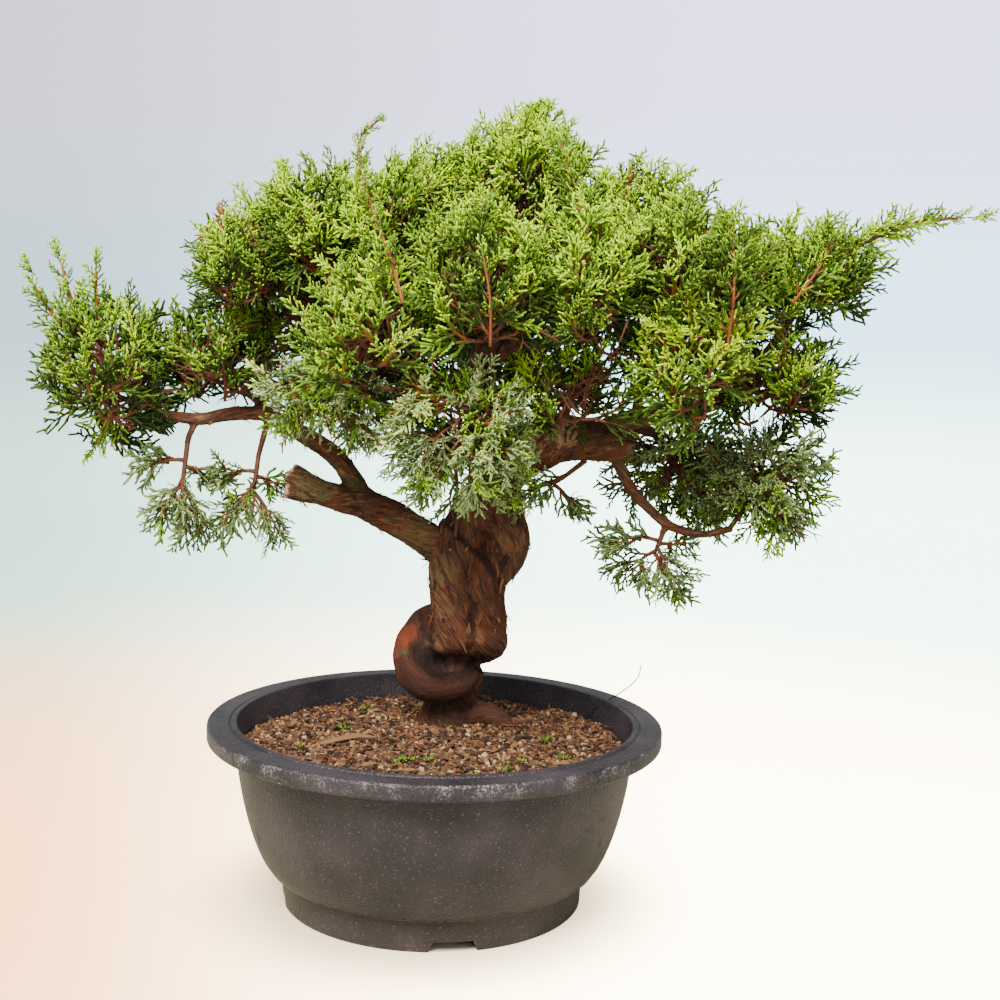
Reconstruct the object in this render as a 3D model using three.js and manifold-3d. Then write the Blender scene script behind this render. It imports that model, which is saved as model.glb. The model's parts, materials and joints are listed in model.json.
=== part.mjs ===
// Itoigawa Chinese juniper bonsai in its round training pot.
// Millimetres, +Z up. Lengths are laid out from the pot's axis at the height of its foot,
// with +X to the viewer's right and +Y away from the viewer. The finished tree is then
// moved sideways, so that its origin is under the middle of its bounding box.
import * as THREE from 'three';
import { mergeVertices } from 'three/addons/utils/BufferGeometryUtils.js';
import Module from 'manifold-3d';

const wasm = await Module();
wasm.setup();

// Driving dimensions of the pot and its soil
const RIM_RADIUS = 120;
const RIM_HEIGHT = 96.5;
const LIP_DEPTH = 8.5;
const LIP_ROUND = 1.5;
const FLANGE_WIDTH = 15.5;
const BEAD_HEIGHT = 0.8;
const BEAD_CREST = 1.2;
const BEAD_WIDTH = 2.5;
const MOUTH_FLARE = 0.6;
const BELLY_TOP_RADIUS = 105;
const BELLY_FOOT_RADIUS = 84;
const BELLY_POWER = 1.6;
const BELLY_STEPS = 4;
const BELLY_STEP_POWER = 1.3;
const CREASE = 2;
const FOOT_RADIUS = 79.5;
const FOOT_HEIGHT = 18;
const FOOT_RING_WIDTH = 5;
const FOOT_FLARE = 1;
const FLOOR_UNDERSIDE = 6;
const FLOOR_TOP = 9;
const WALL = 2.8;
const NOTCH_COUNT = 4;
const NOTCH_TOP_WIDTH = 20;
const NOTCH_FOOT_WIDTH = 25;
const NOTCH_HEIGHT = 5.5;
const NOTCH_TURN = THREE.MathUtils.degToRad(8);
const POT_SIDES = 32;
const SOIL_HEIGHT = 86;
const SOIL_EDGE_DROP = 2;
const SOIL_DROP_RADIUS = 100;
const SOIL_LEVEL_SPOT = [14, 34];
const SOIL_LEVEL_RADIUS = 30;
const SOIL_WAVE = 0.8;
const SOIL_WAVE_LENGTH = 9;
const SOIL_RINGS = 5;
const SOIL_CLEARANCE = 0.5;

// Clearances between touching pieces, and how far every limb keeps leaves away
const GAP = 0.3;
const FOLIAGE_GAP = 0.5;
const GROUND_BLOCK = 400;
const WELD = 1e-4;
const SLIVER = 0.02;

// The trunk: a tight coil at its foot, two fused strands above it, and a leader.
// Each station is x, y, z and the radius there.
const FOOT = [
  [6, 36, 76, 20], [6, 36, 86, 15.5], [8, 36, 97, 13], [13, 32, 107, 12.5], [15, 27, 115, 11],
];
const FLUTE_COUNT = 6;
const FLUTE_DEPTH = 0.08;
const COIL_CENTRE = [2.5, 25, 127];
const COIL_RADIUS = 14.2;
const COIL_THICKNESS = 12.3;
const COIL_SWAY = 11;
const COIL_FRONT = THREE.MathUtils.degToRad(-135);
const COIL_HALVES = [[-30, -190], [-170, -340]];
const COIL_STEP = 32;
const NOSE = [22.5, 19, 138.5, 15];
const EYE = [1, 17, 131, 11];
const LEFT_STRAND = [
  [9, 15, 138, 13], [8, 15, 158, 13], [7, 16, 172, 13.5], [10, 18, 187, 14],
  [17, 21, 203, 13.5], [25, 22, 216, 12],
];
const RIGHT_STRAND = [
  [24, 19, 141, 14], [23.5, 16, 156, 12.9], [25, 15, 169, 12.6], [30, 16, 180, 13.5],
  [34, 17, 190, 14.5], [32, 20, 203, 13], [30, 22, 216, 12.8],
];
const LEADER = [
  [30, 22, 210, 12.5], [29, 24, 233, 12.5], [25, 26, 248, 10.5], [19, 28, 268, 8.5],
  [22, 28, 297, 6.4], [29, 26, 329, 4.6], [38, 24, 370, 2.4],
];
const SURFACE_ROOT = [
  [12, 34, 90, 8], [24, 33, 91, 7.2], [34, 30, 89, 6], [42, 26, 83, 4.5],
];

// Every bough is one tapering limb, and one of them ends in a fork. The limbs that come
// before a bough cut its root.
const BOUGHS = [
  { name: 'left_bough', sides: 9,
    path: [[6, 18, 182, 10.5], [-4, 16, 190, 8.4], [-17, 12, 199, 7.6], [-32, 8, 207.5, 8],
      [-46, 5, 214, 7.4]] },
  { name: 'left_stub', sides: 8,
    path: [[-34, 7, 208, 6.6], [-50, 3, 213, 6.9], [-64, -1, 217.5, 6.4], [-79, -4, 227, 5.6]],
    fork: [[-56, 1, 214, 5], [-68, -2, 215, 4.6], [-81, -4, 217.5, 4.2]] },
  { name: 'left_bough_outer', sides: 7,
    path: [[-40, 6, 210, 6], [-47, 4, 223, 5.5], [-53, 2, 232, 5.2], [-60, 1, 238.5, 4.9],
      [-69, 0, 244.5, 4.6], [-80, 0, 250.5, 4.4], [-91, 0, 256.5, 4.2]] },
  { name: 'left_bough_tip', sides: 6,
    path: [[-91.4, 0, 256.7, 4.1], [-109, 0, 256, 3.8], [-126, -2, 253, 3.4], [-147, -2, 255, 2.6]] },
  { name: 'left_mid_twig', sides: 5,
    path: [[-86, 0, 254, 2.4], [-98, 2, 264, 2], [-106, 4, 270, 1.7]] },
  { name: 'left_weep_twig', sides: 5,
    path: [[-127, -2, 253, 1.9], [-131, -4, 243, 1.7], [-132, -5, 235, 1.5]] },
  { name: 'left_inner_twig', sides: 5,
    path: [[-90, 0, 256, 1.9], [-93, 0, 244, 1.7], [-96, 0, 232, 1.5]] },
  { name: 'upper_left_bough', sides: 7,
    path: [[20, 28, 266, 7], [-7, 22, 273, 6], [-31, 15, 283, 5], [-55, 8, 298, 4.2],
      [-75, 2, 314, 3.4], [-92, 0, 324, 2.6]] },
  { name: 'upper_left_crown_twig', sides: 5,
    path: [[-52, 9, 297, 2.8], [-57, 5, 314, 2.4], [-62, 1, 327, 2]] },
  { name: 'front_left_twig', sides: 5,
    path: [[-29, 16, 282, 2.6], [-38, -8, 277, 2.1], [-43, -24, 272, 1.8]] },
  { name: 'upper_mid_left_twig', sides: 5,
    path: [[-15, 20, 277, 3], [-18, 6, 302, 2.5], [-22, -10, 324, 2]] },
  { name: 'center_left_front_twig', sides: 5,
    path: [[-22, 18, 279, 2.7], [-25, -22, 288, 2.2], [-27, -50, 294, 1.8]] },
  { name: 'center_front_twig', sides: 6,
    path: [[21, 28, 286, 3.6], [18, -15, 302, 2.8], [17, -56, 313, 2.1]] },
  { name: 'center_low_front_twig', sides: 6,
    path: [[26, 25, 246, 3.8], [16, -15, 254, 2.9], [11, -52, 257, 2.1]] },
  { name: 'right_limb', sides: 10,
    path: [[30, 20, 228, 13], [46, 13, 240, 14], [60, 8, 247, 13.5], [74, 4, 247, 11.5],
      [87, 0, 245, 9], [100, -3, 243, 5.5]] },
  { name: 'right_bough', sides: 7,
    path: [[78, 3, 247, 6.4], [92, 1, 256, 5.6], [108, 0, 261, 5], [134, -2, 266, 4.2],
      [157, -3, 272, 3]] },
  { name: 'right_upper_twig', sides: 5,
    path: [[120, 0, 263, 3], [133, -4, 284, 2.5], [141, -6, 303, 2]] },
  { name: 'right_front_twig', sides: 5,
    path: [[100, 1, 258, 2.8], [103, -22, 290, 2.3], [107, -38, 316, 1.9]] },
  { name: 'right_far_twig', sides: 6,
    path: [[146, -3, 269, 3], [167, -1, 294, 2.5], [182, 0, 316, 2.1]] },
  { name: 'right_low_bough', sides: 6,
    path: [[90, 0, 241, 3.4], [98, -2, 224, 3.1], [107, -3, 214, 2.8], [119, -3, 204, 2.5],
      [137, -2, 199, 2.1], [154, 0, 202, 1.8]] },
  { name: 'right_weep_twig', sides: 5,
    path: [[120, -3, 204, 1.9], [116, -4, 199, 1.7], [114, -5, 193, 1.5]] },
  { name: 'center_right_low_twig', sides: 5,
    path: [[62, 6, 249, 2.6], [63, -16, 262, 2.1], [64, -36, 270, 1.8]] },
  { name: 'yellow_twig', sides: 5,
    path: [[113, 0, 262, 2.6], [116, -26, 274, 2.1], [117, -45, 284, 1.8]] },
  { name: 'back_left_bough', sides: 6,
    path: [[19, 28, 268, 5.2], [-13, 54, 279, 3.9], [-50, 72, 298, 2.6]] },
  { name: 'back_top_bough', sides: 6,
    path: [[23, 28, 300, 4], [16, 52, 314, 3.1], [9, 72, 329, 2.3]] },
  { name: 'back_right_bough', sides: 6,
    path: [[20, 28, 283, 4.6], [46, 56, 302, 3.4], [70, 76, 320, 2.4]] },
  { name: 'back_low_bough', sides: 6,
    path: [[24, 26, 250, 4.2], [32, 58, 262, 3.2], [37, 82, 272, 2.3]] },
  { name: 'back_right_low_bough', sides: 6,
    path: [[72, 6, 249, 4.4], [98, 22, 253, 3.2], [122, 34, 248, 2.3]] },
];

// Every mass of foliage keeps to an ellipsoid of its own. Its stem starts at the tip of the
// bough or trunk named in `from`, or inside that limb where `start` gives the point.
// `upright` masses lift their sprays, the others hang them. `core` is how far a dense middle
// reaches towards the skin, and `shoots` are the ends of long shoots that leave the mass.
const MASSES = [
  { name: 'foliage_left_end', from: 'left_bough_tip', centre: [-170, 0, 278], half: [34, 44, 36],
    twigs: 7, upright: true, core: 0.8,
    shoots: [[-218, 0, 334], [-200, 4, 343], [-177, -6, 338], [-184, -4, 230]] },
  { name: 'foliage_left_mid', from: 'left_mid_twig', centre: [-120, 6, 285], half: [33, 44, 27],
    twigs: 6, upright: true, core: 0.8 },
  { name: 'foliage_left_weep', from: 'left_weep_twig', centre: [-134, -5, 216], half: [21, 20, 28],
    twigs: 5, upright: false },
  { name: 'foliage_left_inner', from: 'left_inner_twig', centre: [-98, 0, 213], half: [26, 20, 23],
    twigs: 5, upright: false },
  { name: 'foliage_upper_left', from: 'upper_left_bough', centre: [-97, 2, 337],
    half: [33, 50, 28], twigs: 6, upright: true, core: 0.83 },
  { name: 'foliage_upper_left_crown', from: 'upper_left_crown_twig', centre: [-64, 0, 350],
    half: [37, 54, 35], twigs: 6, upright: true, core: 0.83 },
  { name: 'foliage_front_left', from: 'front_left_twig', centre: [-53, -48, 269],
    half: [36, 34, 26], twigs: 6, upright: false, core: 0.6 },
  { name: 'foliage_upper_mid_left', from: 'upper_mid_left_twig', centre: [-25, -16, 350],
    half: [34, 46, 38], twigs: 6, upright: true, core: 0.83, shoots: [[-36, -26, 405]] },
  { name: 'foliage_center_left_front', from: 'center_left_front_twig', centre: [-29, -70, 305],
    half: [38, 40, 35], twigs: 6, upright: true, core: 0.8 },
  { name: 'foliage_top', from: 'trunk', centre: [41, 18, 380], half: [36, 52, 35],
    twigs: 6, upright: true, core: 0.83, shoots: [[50, 20, 425]] },
  { name: 'foliage_top_left', from: 'trunk', start: [30, 27, 335, 2.4], centre: [5, 34, 370],
    half: [35, 50, 32], twigs: 6, upright: true, core: 0.83 },
  { name: 'foliage_center_front', from: 'center_front_twig', centre: [17, -78, 324],
    half: [36, 42, 40], twigs: 6, upright: true, core: 0.8 },
  { name: 'foliage_center_low_front', from: 'center_low_front_twig', centre: [8, -78, 251],
    half: [36, 30, 32], twigs: 6, upright: false, core: 0.6 },
  { name: 'foliage_center_right_front', from: 'trunk', start: [25, 27, 312, 2.8],
    centre: [64, -68, 327], half: [36, 42, 38], twigs: 6, upright: true, core: 0.8 },
  { name: 'foliage_center_right_low', from: 'center_right_low_twig', centre: [64, -54, 276],
    half: [30, 28, 19], twigs: 5, upright: true, core: 0.6 },
  { name: 'foliage_yellow', from: 'yellow_twig', centre: [117, -66, 294], half: [30, 32, 30],
    twigs: 6, upright: true, core: 0.8, yellow: true },
  { name: 'foliage_right_front', from: 'right_front_twig', centre: [112, -56, 338],
    half: [36, 40, 30], twigs: 5, upright: true, core: 0.8 },
  { name: 'foliage_crown_right', from: 'trunk', start: [27, 27, 320, 2.8], centre: [98, 6, 355],
    half: [37, 52, 34], twigs: 6, upright: true, core: 0.83, shoots: [[101, 4, 396]] },
  { name: 'foliage_right_upper', from: 'right_upper_twig', centre: [148, -8, 327],
    half: [36, 52, 32], twigs: 6, upright: true, core: 0.83 },
  { name: 'foliage_right_far', from: 'right_far_twig', centre: [189, 0, 338], half: [33, 46, 27],
    twigs: 6, upright: true, core: 0.8, shoots: [[286, 0, 369], [257, 2, 367]] },
  { name: 'foliage_right_mid', from: 'right_bough', centre: [174, 0, 284], half: [32, 46, 27],
    twigs: 6, upright: true, core: 0.8 },
  { name: 'foliage_right_low', from: 'right_low_bough', centre: [171, 0, 229],
    half: [33, 38, 30], twigs: 5, upright: false, core: 0.6, shoots: [[174, 0, 187]] },
  { name: 'foliage_right_weep', from: 'right_weep_twig', centre: [112, -6, 187],
    half: [24, 22, 22], twigs: 5, upright: false },
  { name: 'foliage_inner', from: 'right_limb', start: [76, 5, 236, 1.6], centre: [57, 4, 221],
    half: [25, 14, 14], twigs: 4, upright: false },
  { name: 'foliage_back_left', from: 'back_left_bough', centre: [-82, 88, 316],
    half: [44, 50, 38], twigs: 7, upright: true, core: 0.83 },
  { name: 'foliage_back_top', from: 'back_top_bough', centre: [3, 102, 350], half: [46, 50, 42],
    twigs: 7, upright: true, core: 0.83 },
  { name: 'foliage_back_right', from: 'back_right_bough', centre: [93, 98, 340],
    half: [48, 50, 40], twigs: 7, upright: true, core: 0.83 },
  { name: 'foliage_back_low', from: 'back_low_bough', centre: [42, 110, 286],
    half: [48, 42, 29], twigs: 6, upright: true, core: 0.8 },
  { name: 'foliage_back_right_low', from: 'back_right_low_bough', centre: [132, 42, 226],
    half: [40, 38, 32], twigs: 5, upright: false, core: 0.6 },
];

// A sprig stands for a spray of scale leaves: a twig that widens to a flat, pointed blade
const TWIG_RADIUS = 1.5;
const NECK_RADIUS = 1;
const BLADE_LENGTH = 36;
const LONGEST_BLADE_SHARE = 0.72;
const BLADE_WIDTH_SHARE = 0.35;
const BLADE_THICKNESS_SHARE = 0.1;
const WIDEST_SHARE = 0.5;

// How a mass branches: its stem, the main twigs, the side sprigs and the long shoots
const STEM_DEPTH = 0.88;
const STEM_START_SHARE = 0.92;
const STEM_END_SHARE = 0.7;
const STEM_CLEARANCE = 0.35;
const LOWEST_TWIG = 0.45;
const SHORTEST_TWIG = 16;
const SPREAD = 1.6;
const TURN_WANDER = 0.5;
const TWIST = 1.2;
const DENSE_SIDE_START = 0.15;
const OPEN_SIDE_START = 0.42;
const SIDE_FORK = THREE.MathUtils.degToRad(50);
const FORK_WANDER = 0.4;
const FORK_OUTWARD = 0.35;
const FORK_LIFT = 0.2;
const LONGEST_SIDE = 38;
const SHORTEST_SIDE = 15;
const CROSSING_SHARE = 0.5;
const SHOOT_SPRIG = 20;
const SHOOT_SPACING = 18;
const SHOOT_BARE = 0.45;

// Where a bough ends in its mass, and where one mass ends and the next begins
const ENTRY = 0.86;
const ENTRY_STEP = 0.02;
const SHORTEST_BOUGH = 0.5;
const HALF_SPACING = 0.25;
const BOUND_MARGIN = 1.5;
const NEIGHBOUR_MARGIN = 40;
const PARALLEL = 1e-3;

const FIRST_SEED = 101;
const CORE_SEED = 501;
const CORE_TUFT = 0.26;
const GOLDEN_TURN = Math.PI * (3 - Math.sqrt(5));
const UP = new THREE.Vector3(0, 0, 1);

const potPlastic = new THREE.MeshStandardMaterial({ color: 0x37383b, roughness: 0.62 });
const soilGrain = new THREE.MeshStandardMaterial({ color: 0x8a6547, roughness: 0.95 });
const bark = new THREE.MeshStandardMaterial({ color: 0x74452f, roughness: 0.85 });
const leafGreen = new THREE.MeshStandardMaterial({ color: 0x6d9a3d, roughness: 0.7 });
const leafYellow = new THREE.MeshStandardMaterial({ color: 0xa9c63f, roughness: 0.7 });

const vec = ([x, y, z]) => new THREE.Vector3(x, y, z);

// Turns a closed three.js geometry into a solid.
function solid(geometry) {
  geometry.deleteAttribute('normal');
  geometry.deleteAttribute('uv');
  const merged = mergeVertices(geometry, WELD);
  return new wasm.Manifold(new wasm.Mesh({
    numProp: 3,
    vertProperties: new Float32Array(merged.attributes.position.array),
    triVerts: new Uint32Array(merged.index.array),
  }));
}

// Turns a solid back into a named mesh.
function namedMesh(name, body, material) {
  const { vertProperties, triVerts } = body.getMesh();
  const geometry = new THREE.BufferGeometry();
  geometry.setAttribute('position', new THREE.BufferAttribute(new Float32Array(vertProperties), 3));
  geometry.setIndex(new THREE.BufferAttribute(new Uint32Array(triVerts), 1));
  geometry.computeVertexNormals();
  const mesh = new THREE.Mesh(geometry, material);
  mesh.name = name;
  return mesh;
}

const joined = (bodies) => bodies.reduce((all, body) => all.add(body));
const touches = (one, other) => !one.intersect(other).isEmpty();

// Keeps the largest piece of a solid, without loose scraps and slivers of faces.
function largest(body) {
  return body.decompose()
    .reduce((best, piece) => (piece.volume() > best.volume() ? piece : best))
    .simplify(SLIVER);
}

// Repeatable random numbers from 0 to 1.
function seeded(seed) {
  let state = seed >>> 0;
  return () => {
    state = (state + 0x6d2b79f5) >>> 0;
    let mixed = Math.imul(state ^ (state >>> 15), state | 1);
    mixed ^= mixed + Math.imul(mixed ^ (mixed >>> 7), mixed | 61);
    return ((mixed ^ (mixed >>> 14)) >>> 0) / 4294967296;
  };
}

// Closed tube through rings of a centre and a radius, with flat ends.
function loft(rings, sides, section = () => 1) {
  const positions = [];
  const side = new THREE.Vector3();
  const other = new THREE.Vector3();
  rings.forEach(({ point, radius }, ring) => {
    const ahead = rings[Math.min(ring + 1, rings.length - 1)].point;
    const behind = rings[Math.max(ring - 1, 0)].point;
    const along = ahead.clone().sub(behind).normalize();
    if (ring === 0) {
      side.set(1, 0, 0);
      if (Math.abs(along.x) > 0.8) side.set(0, 1, 0);
    }
    side.addScaledVector(along, -side.dot(along)).normalize();
    other.crossVectors(along, side);
    for (let k = 0; k < sides; k += 1) {
      const angle = (2 * Math.PI * k) / sides;
      const reach = radius * section(angle);
      const corner = point.clone()
        .addScaledVector(side, reach * Math.cos(angle))
        .addScaledVector(other, reach * Math.sin(angle));
      positions.push(corner.x, corner.y, corner.z);
    }
  });
  const index = [];
  for (let ring = 0; ring + 1 < rings.length; ring += 1) {
    for (let k = 0; k < sides; k += 1) {
      const a = ring * sides + k;
      const b = ring * sides + ((k + 1) % sides);
      index.push(a, b, b + sides, a, b + sides, a + sides);
    }
  }
  const last = (rings.length - 1) * sides;
  for (let k = 1; k + 1 < sides; k += 1) {
    index.push(0, k + 1, k);
    index.push(last, last + k, last + k + 1);
  }
  const geometry = new THREE.BufferGeometry();
  geometry.setAttribute('position', new THREE.Float32BufferAttribute(positions, 3));
  geometry.setIndex(index);
  return solid(geometry);
}

// Rings along a smooth curve through stations, up to a share of it, with one ring for
// each span and each radius swollen by `extra`.
function ringsThrough(stations, extra = 0, end = 1) {
  const curve = new THREE.CatmullRomCurve3(stations.map(vec), false, 'centripetal');
  const spans = stations.length - 1;
  const count = Math.max(1, Math.round(spans * end));
  return Array.from({ length: count + 1 }, (_, i) => {
    const place = (spans * end * i) / count;
    const span = Math.min(Math.floor(place), spans - 1);
    const radius = THREE.MathUtils.lerp(stations[span][3], stations[span + 1][3], place - span);
    return { point: curve.getPoint(place / spans), radius: radius + extra };
  });
}

// Tube along stations, ends pushed out by `extra` as well.
function limb(stations, sides, extra = 0, { end = 1, section } = {}) {
  const rings = ringsThrough(stations, extra, end);
  if (extra > 0) {
    const last = rings.length - 1;
    const out = rings[last].point.clone().sub(rings[last - 1].point).setLength(extra);
    rings[last].point.add(out);
  }
  return loft(rings, sides, section);
}

// Round knot of wood.
function knot([x, y, z, radius], extra) {
  const geometry = new THREE.IcosahedronGeometry(radius + extra, 1);
  geometry.translate(x, y, z);
  return solid(geometry);
}

// Part of the coil between two angles, which run clockwise as the viewer sees it. The ring
// leans back, so that it comes forward at its lower left and goes behind at its upper right.
function coilPart([from, to], extra) {
  const steps = Math.round((from - to) / COIL_STEP);
  const stations = Array.from({ length: steps + 1 }, (_, i) => {
    const angle = THREE.MathUtils.degToRad(from + ((to - from) * i) / steps);
    return [
      COIL_CENTRE[0] + COIL_RADIUS * Math.cos(angle),
      COIL_CENTRE[1] - COIL_SWAY * Math.cos(angle - COIL_FRONT),
      COIL_CENTRE[2] + COIL_RADIUS * Math.sin(angle),
      COIL_THICKNESS,
    ];
  });
  return limb(stations, 10, extra);
}

// Radius of the pot's belly at a height.
function bellyRadius(z) {
  const rise = THREE.MathUtils.clamp((z - FOOT_HEIGHT) / (RIM_HEIGHT - LIP_DEPTH - FOOT_HEIGHT), 0, 1);
  const swell = (1 - (1 - rise) ** BELLY_POWER) ** (1 / BELLY_POWER);
  return BELLY_FOOT_RADIUS + (BELLY_TOP_RADIUS - BELLY_FOOT_RADIUS) * swell;
}

// Heights at which the belly's curve has a corner.
function bellyHeights() {
  const lipUnderside = RIM_HEIGHT - LIP_DEPTH;
  return Array.from({ length: BELLY_STEPS + 1 },
    (_, i) => THREE.MathUtils.lerp(FOOT_HEIGHT + CREASE, lipUnderside,
      (i / BELLY_STEPS) ** BELLY_STEP_POWER));
}

// Turns a closed profile of radius and height about the pot's axis.
function turned(profile, sides) {
  const points = profile.map(([r, z]) => new THREE.Vector2(r, z));
  const geometry = new THREE.LatheGeometry(points, sides);
  geometry.rotateX(Math.PI / 2);
  return solid(geometry);
}

function potSolid() {
  const lipUnderside = RIM_HEIGHT - LIP_DEPTH;
  const mouth = RIM_RADIUS - FLANGE_WIDTH;
  const outside = bellyHeights().map((z) => [bellyRadius(z), z]);
  const inside = bellyHeights().slice(0, -1).reverse().map((z) => [bellyRadius(z) - WALL, z]);
  const profile = [
    [0, FLOOR_UNDERSIDE], [FOOT_RADIUS - FOOT_RING_WIDTH, FLOOR_UNDERSIDE],
    [FOOT_RADIUS - FOOT_RING_WIDTH, 0], [FOOT_RADIUS, 0],
    [FOOT_RADIUS + FOOT_FLARE, FOOT_HEIGHT - CREASE],
    ...outside,
    [RIM_RADIUS - LIP_ROUND, lipUnderside], [RIM_RADIUS, lipUnderside + LIP_ROUND],
    [RIM_RADIUS, RIM_HEIGHT - LIP_ROUND], [RIM_RADIUS - LIP_ROUND, RIM_HEIGHT],
    [mouth + BEAD_WIDTH, RIM_HEIGHT], [mouth + BEAD_CREST, RIM_HEIGHT + BEAD_HEIGHT],
    [mouth, RIM_HEIGHT], [mouth - MOUTH_FLARE, lipUnderside],
    ...inside,
    [FOOT_RADIUS - WALL, FOOT_HEIGHT - CREASE], [FOOT_RADIUS - WALL - FOOT_FLARE, FLOOR_TOP],
    [0, FLOOR_TOP], [0, FLOOR_UNDERSIDE],
  ];
  return turned(profile, POT_SIDES);
}

// Wedge that cuts one drain notch through the foot ring.
function notch(turn) {
  const shape = new THREE.Shape([
    new THREE.Vector2(-NOTCH_FOOT_WIDTH / 2, -1), new THREE.Vector2(NOTCH_FOOT_WIDTH / 2, -1),
    new THREE.Vector2(NOTCH_TOP_WIDTH / 2, NOTCH_HEIGHT),
    new THREE.Vector2(-NOTCH_TOP_WIDTH / 2, NOTCH_HEIGHT),
  ]);
  const depth = 4 * FOOT_RING_WIDTH;
  const geometry = new THREE.ExtrudeGeometry(shape, { depth, bevelEnabled: false, steps: 1 });
  geometry.rotateX(Math.PI / 2);
  geometry.translate(0, 2 * FOOT_RING_WIDTH - FOOT_RADIUS, 0);
  geometry.rotateZ(turn);
  return solid(geometry);
}

function buildPot() {
  const turns = Array.from({ length: NOTCH_COUNT },
    (_, i) => NOTCH_TURN + (2 * Math.PI * i) / NOTCH_COUNT);
  const body = turns.reduce((pot, turn) => pot.subtract(notch(turn)), potSolid());
  return namedMesh('pot', body, potPlastic);
}

// Height of the soil's surface: flat round the trunk's foot, gently uneven farther out.
function soilLevel(x, y) {
  const drop = SOIL_EDGE_DROP * (Math.hypot(x, y) / SOIL_DROP_RADIUS) ** 4;
  const away = Math.hypot(x - SOIL_LEVEL_SPOT[0], y - SOIL_LEVEL_SPOT[1]);
  const share = THREE.MathUtils.smoothstep(away, SOIL_LEVEL_RADIUS, 2 * SOIL_LEVEL_RADIUS);
  const wave = Math.sin(x / SOIL_WAVE_LENGTH + 1) * Math.cos(y / SOIL_WAVE_LENGTH)
    + Math.sin((x - y) / (2 * SOIL_WAVE_LENGTH));
  return SOIL_HEIGHT - share * (drop - SOIL_WAVE * wave);
}

function buildSoil() {
  const wallAt = (z) => bellyRadius(z) - WALL - SOIL_CLEARANCE;
  const side = bellyHeights().slice(0, -1).map((z) => [wallAt(z), z]);
  const foot = FOOT_RADIUS - WALL - FOOT_FLARE - SOIL_CLEARANCE;
  const top = Array.from({ length: SOIL_RINGS },
    (_, i) => [wallAt(SOIL_HEIGHT) * (1 - i / SOIL_RINGS), SOIL_HEIGHT]);
  const profile = [
    [0, FLOOR_TOP + GAP], [foot, FLOOR_TOP + GAP], [foot, FOOT_HEIGHT - CREASE],
    ...side, ...top, [0, SOIL_HEIGHT], [0, FLOOR_TOP + GAP],
  ];
  const uneven = turned(profile, POT_SIDES).warp((corner) => {
    if (corner[2] > SOIL_HEIGHT - GAP) corner[2] = soilLevel(corner[0], corner[1]);
  });
  return namedMesh('soil', uneven, soilGrain);
}

// Everything below the flat cut at the soil's surface.
function belowGround(lift) {
  const geometry = new THREE.BoxGeometry(GROUND_BLOCK, GROUND_BLOCK, GROUND_BLOCK);
  geometry.translate(0, 0, SOIL_HEIGHT + lift - GROUND_BLOCK / 2);
  return solid(geometry);
}

// Share of a limb's path at which it enters the mass that grows from its tip.
function entryShare(path, name) {
  const mass = MASSES.find(({ from, start }) => from === name && !start);
  if (!mass) return 1;
  const curve = new THREE.CatmullRomCurve3(path.map(vec), false, 'centripetal');
  const half = vec(mass.half);
  const centre = vec(mass.centre);
  const depth = (share) => curve.getPoint(share).sub(centre).divide(half).length();
  let share = 1;
  while (share > SHORTEST_BOUGH && depth(share) < ENTRY) share -= ENTRY_STEP;
  return share;
}

// The whole trunk, each radius swollen by `extra`.
function trunkSolid(extra) {
  const fluted = (angle) => 1 + FLUTE_DEPTH * Math.cos(FLUTE_COUNT * angle);
  const parts = [
    limb(FOOT, 2 * FLUTE_COUNT, extra, { section: fluted }),
    ...COIL_HALVES.map((half) => coilPart(half, extra)),
    knot(NOSE, extra),
    knot(EYE, extra),
    limb(LEFT_STRAND, 11, extra),
    limb(RIGHT_STRAND, 11, extra),
    limb(LEADER, 9, extra, { end: entryShare(LEADER, 'trunk') }),
    limb(SURFACE_ROOT, 6, extra),
  ];
  return largest(joined(parts).subtract(belowGround(GAP)));
}

// One bough with its fork, where it has one, each radius swollen by `extra`.
function boughSolid({ name, path, fork, sides }, extra) {
  const body = limb(path, sides, extra, { end: entryShare(path, name) });
  return fork ? body.add(limb(fork, sides, extra)) : body;
}

// Solids of trunk and boughs, and the same ones swollen, by name.
function growLimbs() {
  const limbs = { trunk: trunkSolid(0) };
  let wide = trunkSolid(GAP);
  let clear = trunkSolid(FOLIAGE_GAP);
  for (const bough of BOUGHS) {
    limbs[bough.name] = largest(boughSolid(bough, 0).subtract(wide));
    wide = wide.add(boughSolid(bough, GAP));
    clear = clear.add(boughSolid(bough, FOLIAGE_GAP));
  }
  return { limbs, wide, clear };
}

// Start of a mass's stem: just past its bough's tip, or inside the trunk whose surface cuts it.
function stemStart(mass) {
  if (mass.start) return { point: vec(mass.start), radius: mass.start[3] };
  const path = mass.from === 'trunk' ? LEADER : BOUGHS.find(({ name }) => name === mass.from).path;
  const [before, tip] = ringsThrough(path, 0, entryShare(path, mass.from)).slice(-2);
  const along = tip.point.clone().sub(before.point).normalize();
  return {
    point: tip.point.clone().addScaledVector(along, STEM_CLEARANCE),
    radius: tip.radius * STEM_START_SHARE,
  };
}

// Half-spaces that part a mass from each neighbour, where their ellipsoids balance.
function boundariesOf(mass) {
  const centre = vec(mass.centre);
  const boundaries = [];
  for (const other of MASSES) {
    if (other === mass) continue;
    const away = vec(other.centre).sub(centre);
    const distance = away.length();
    away.normalize();
    const support = (half) => Math.hypot(away.x * half[0], away.y * half[1], away.z * half[2]);
    const [own, theirs] = [support(mass.half), support(other.half)];
    if (distance > own + theirs + NEIGHBOUR_MARGIN) continue;
    boundaries.push({ away, limit: (distance * own) / (own + theirs) - HALF_SPACING, centre });
  }
  return boundaries;
}

const inside = (point, boundaries) => boundaries.every(
  ({ away, limit, centre }) => point.clone().sub(centre).dot(away) < limit);

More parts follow.
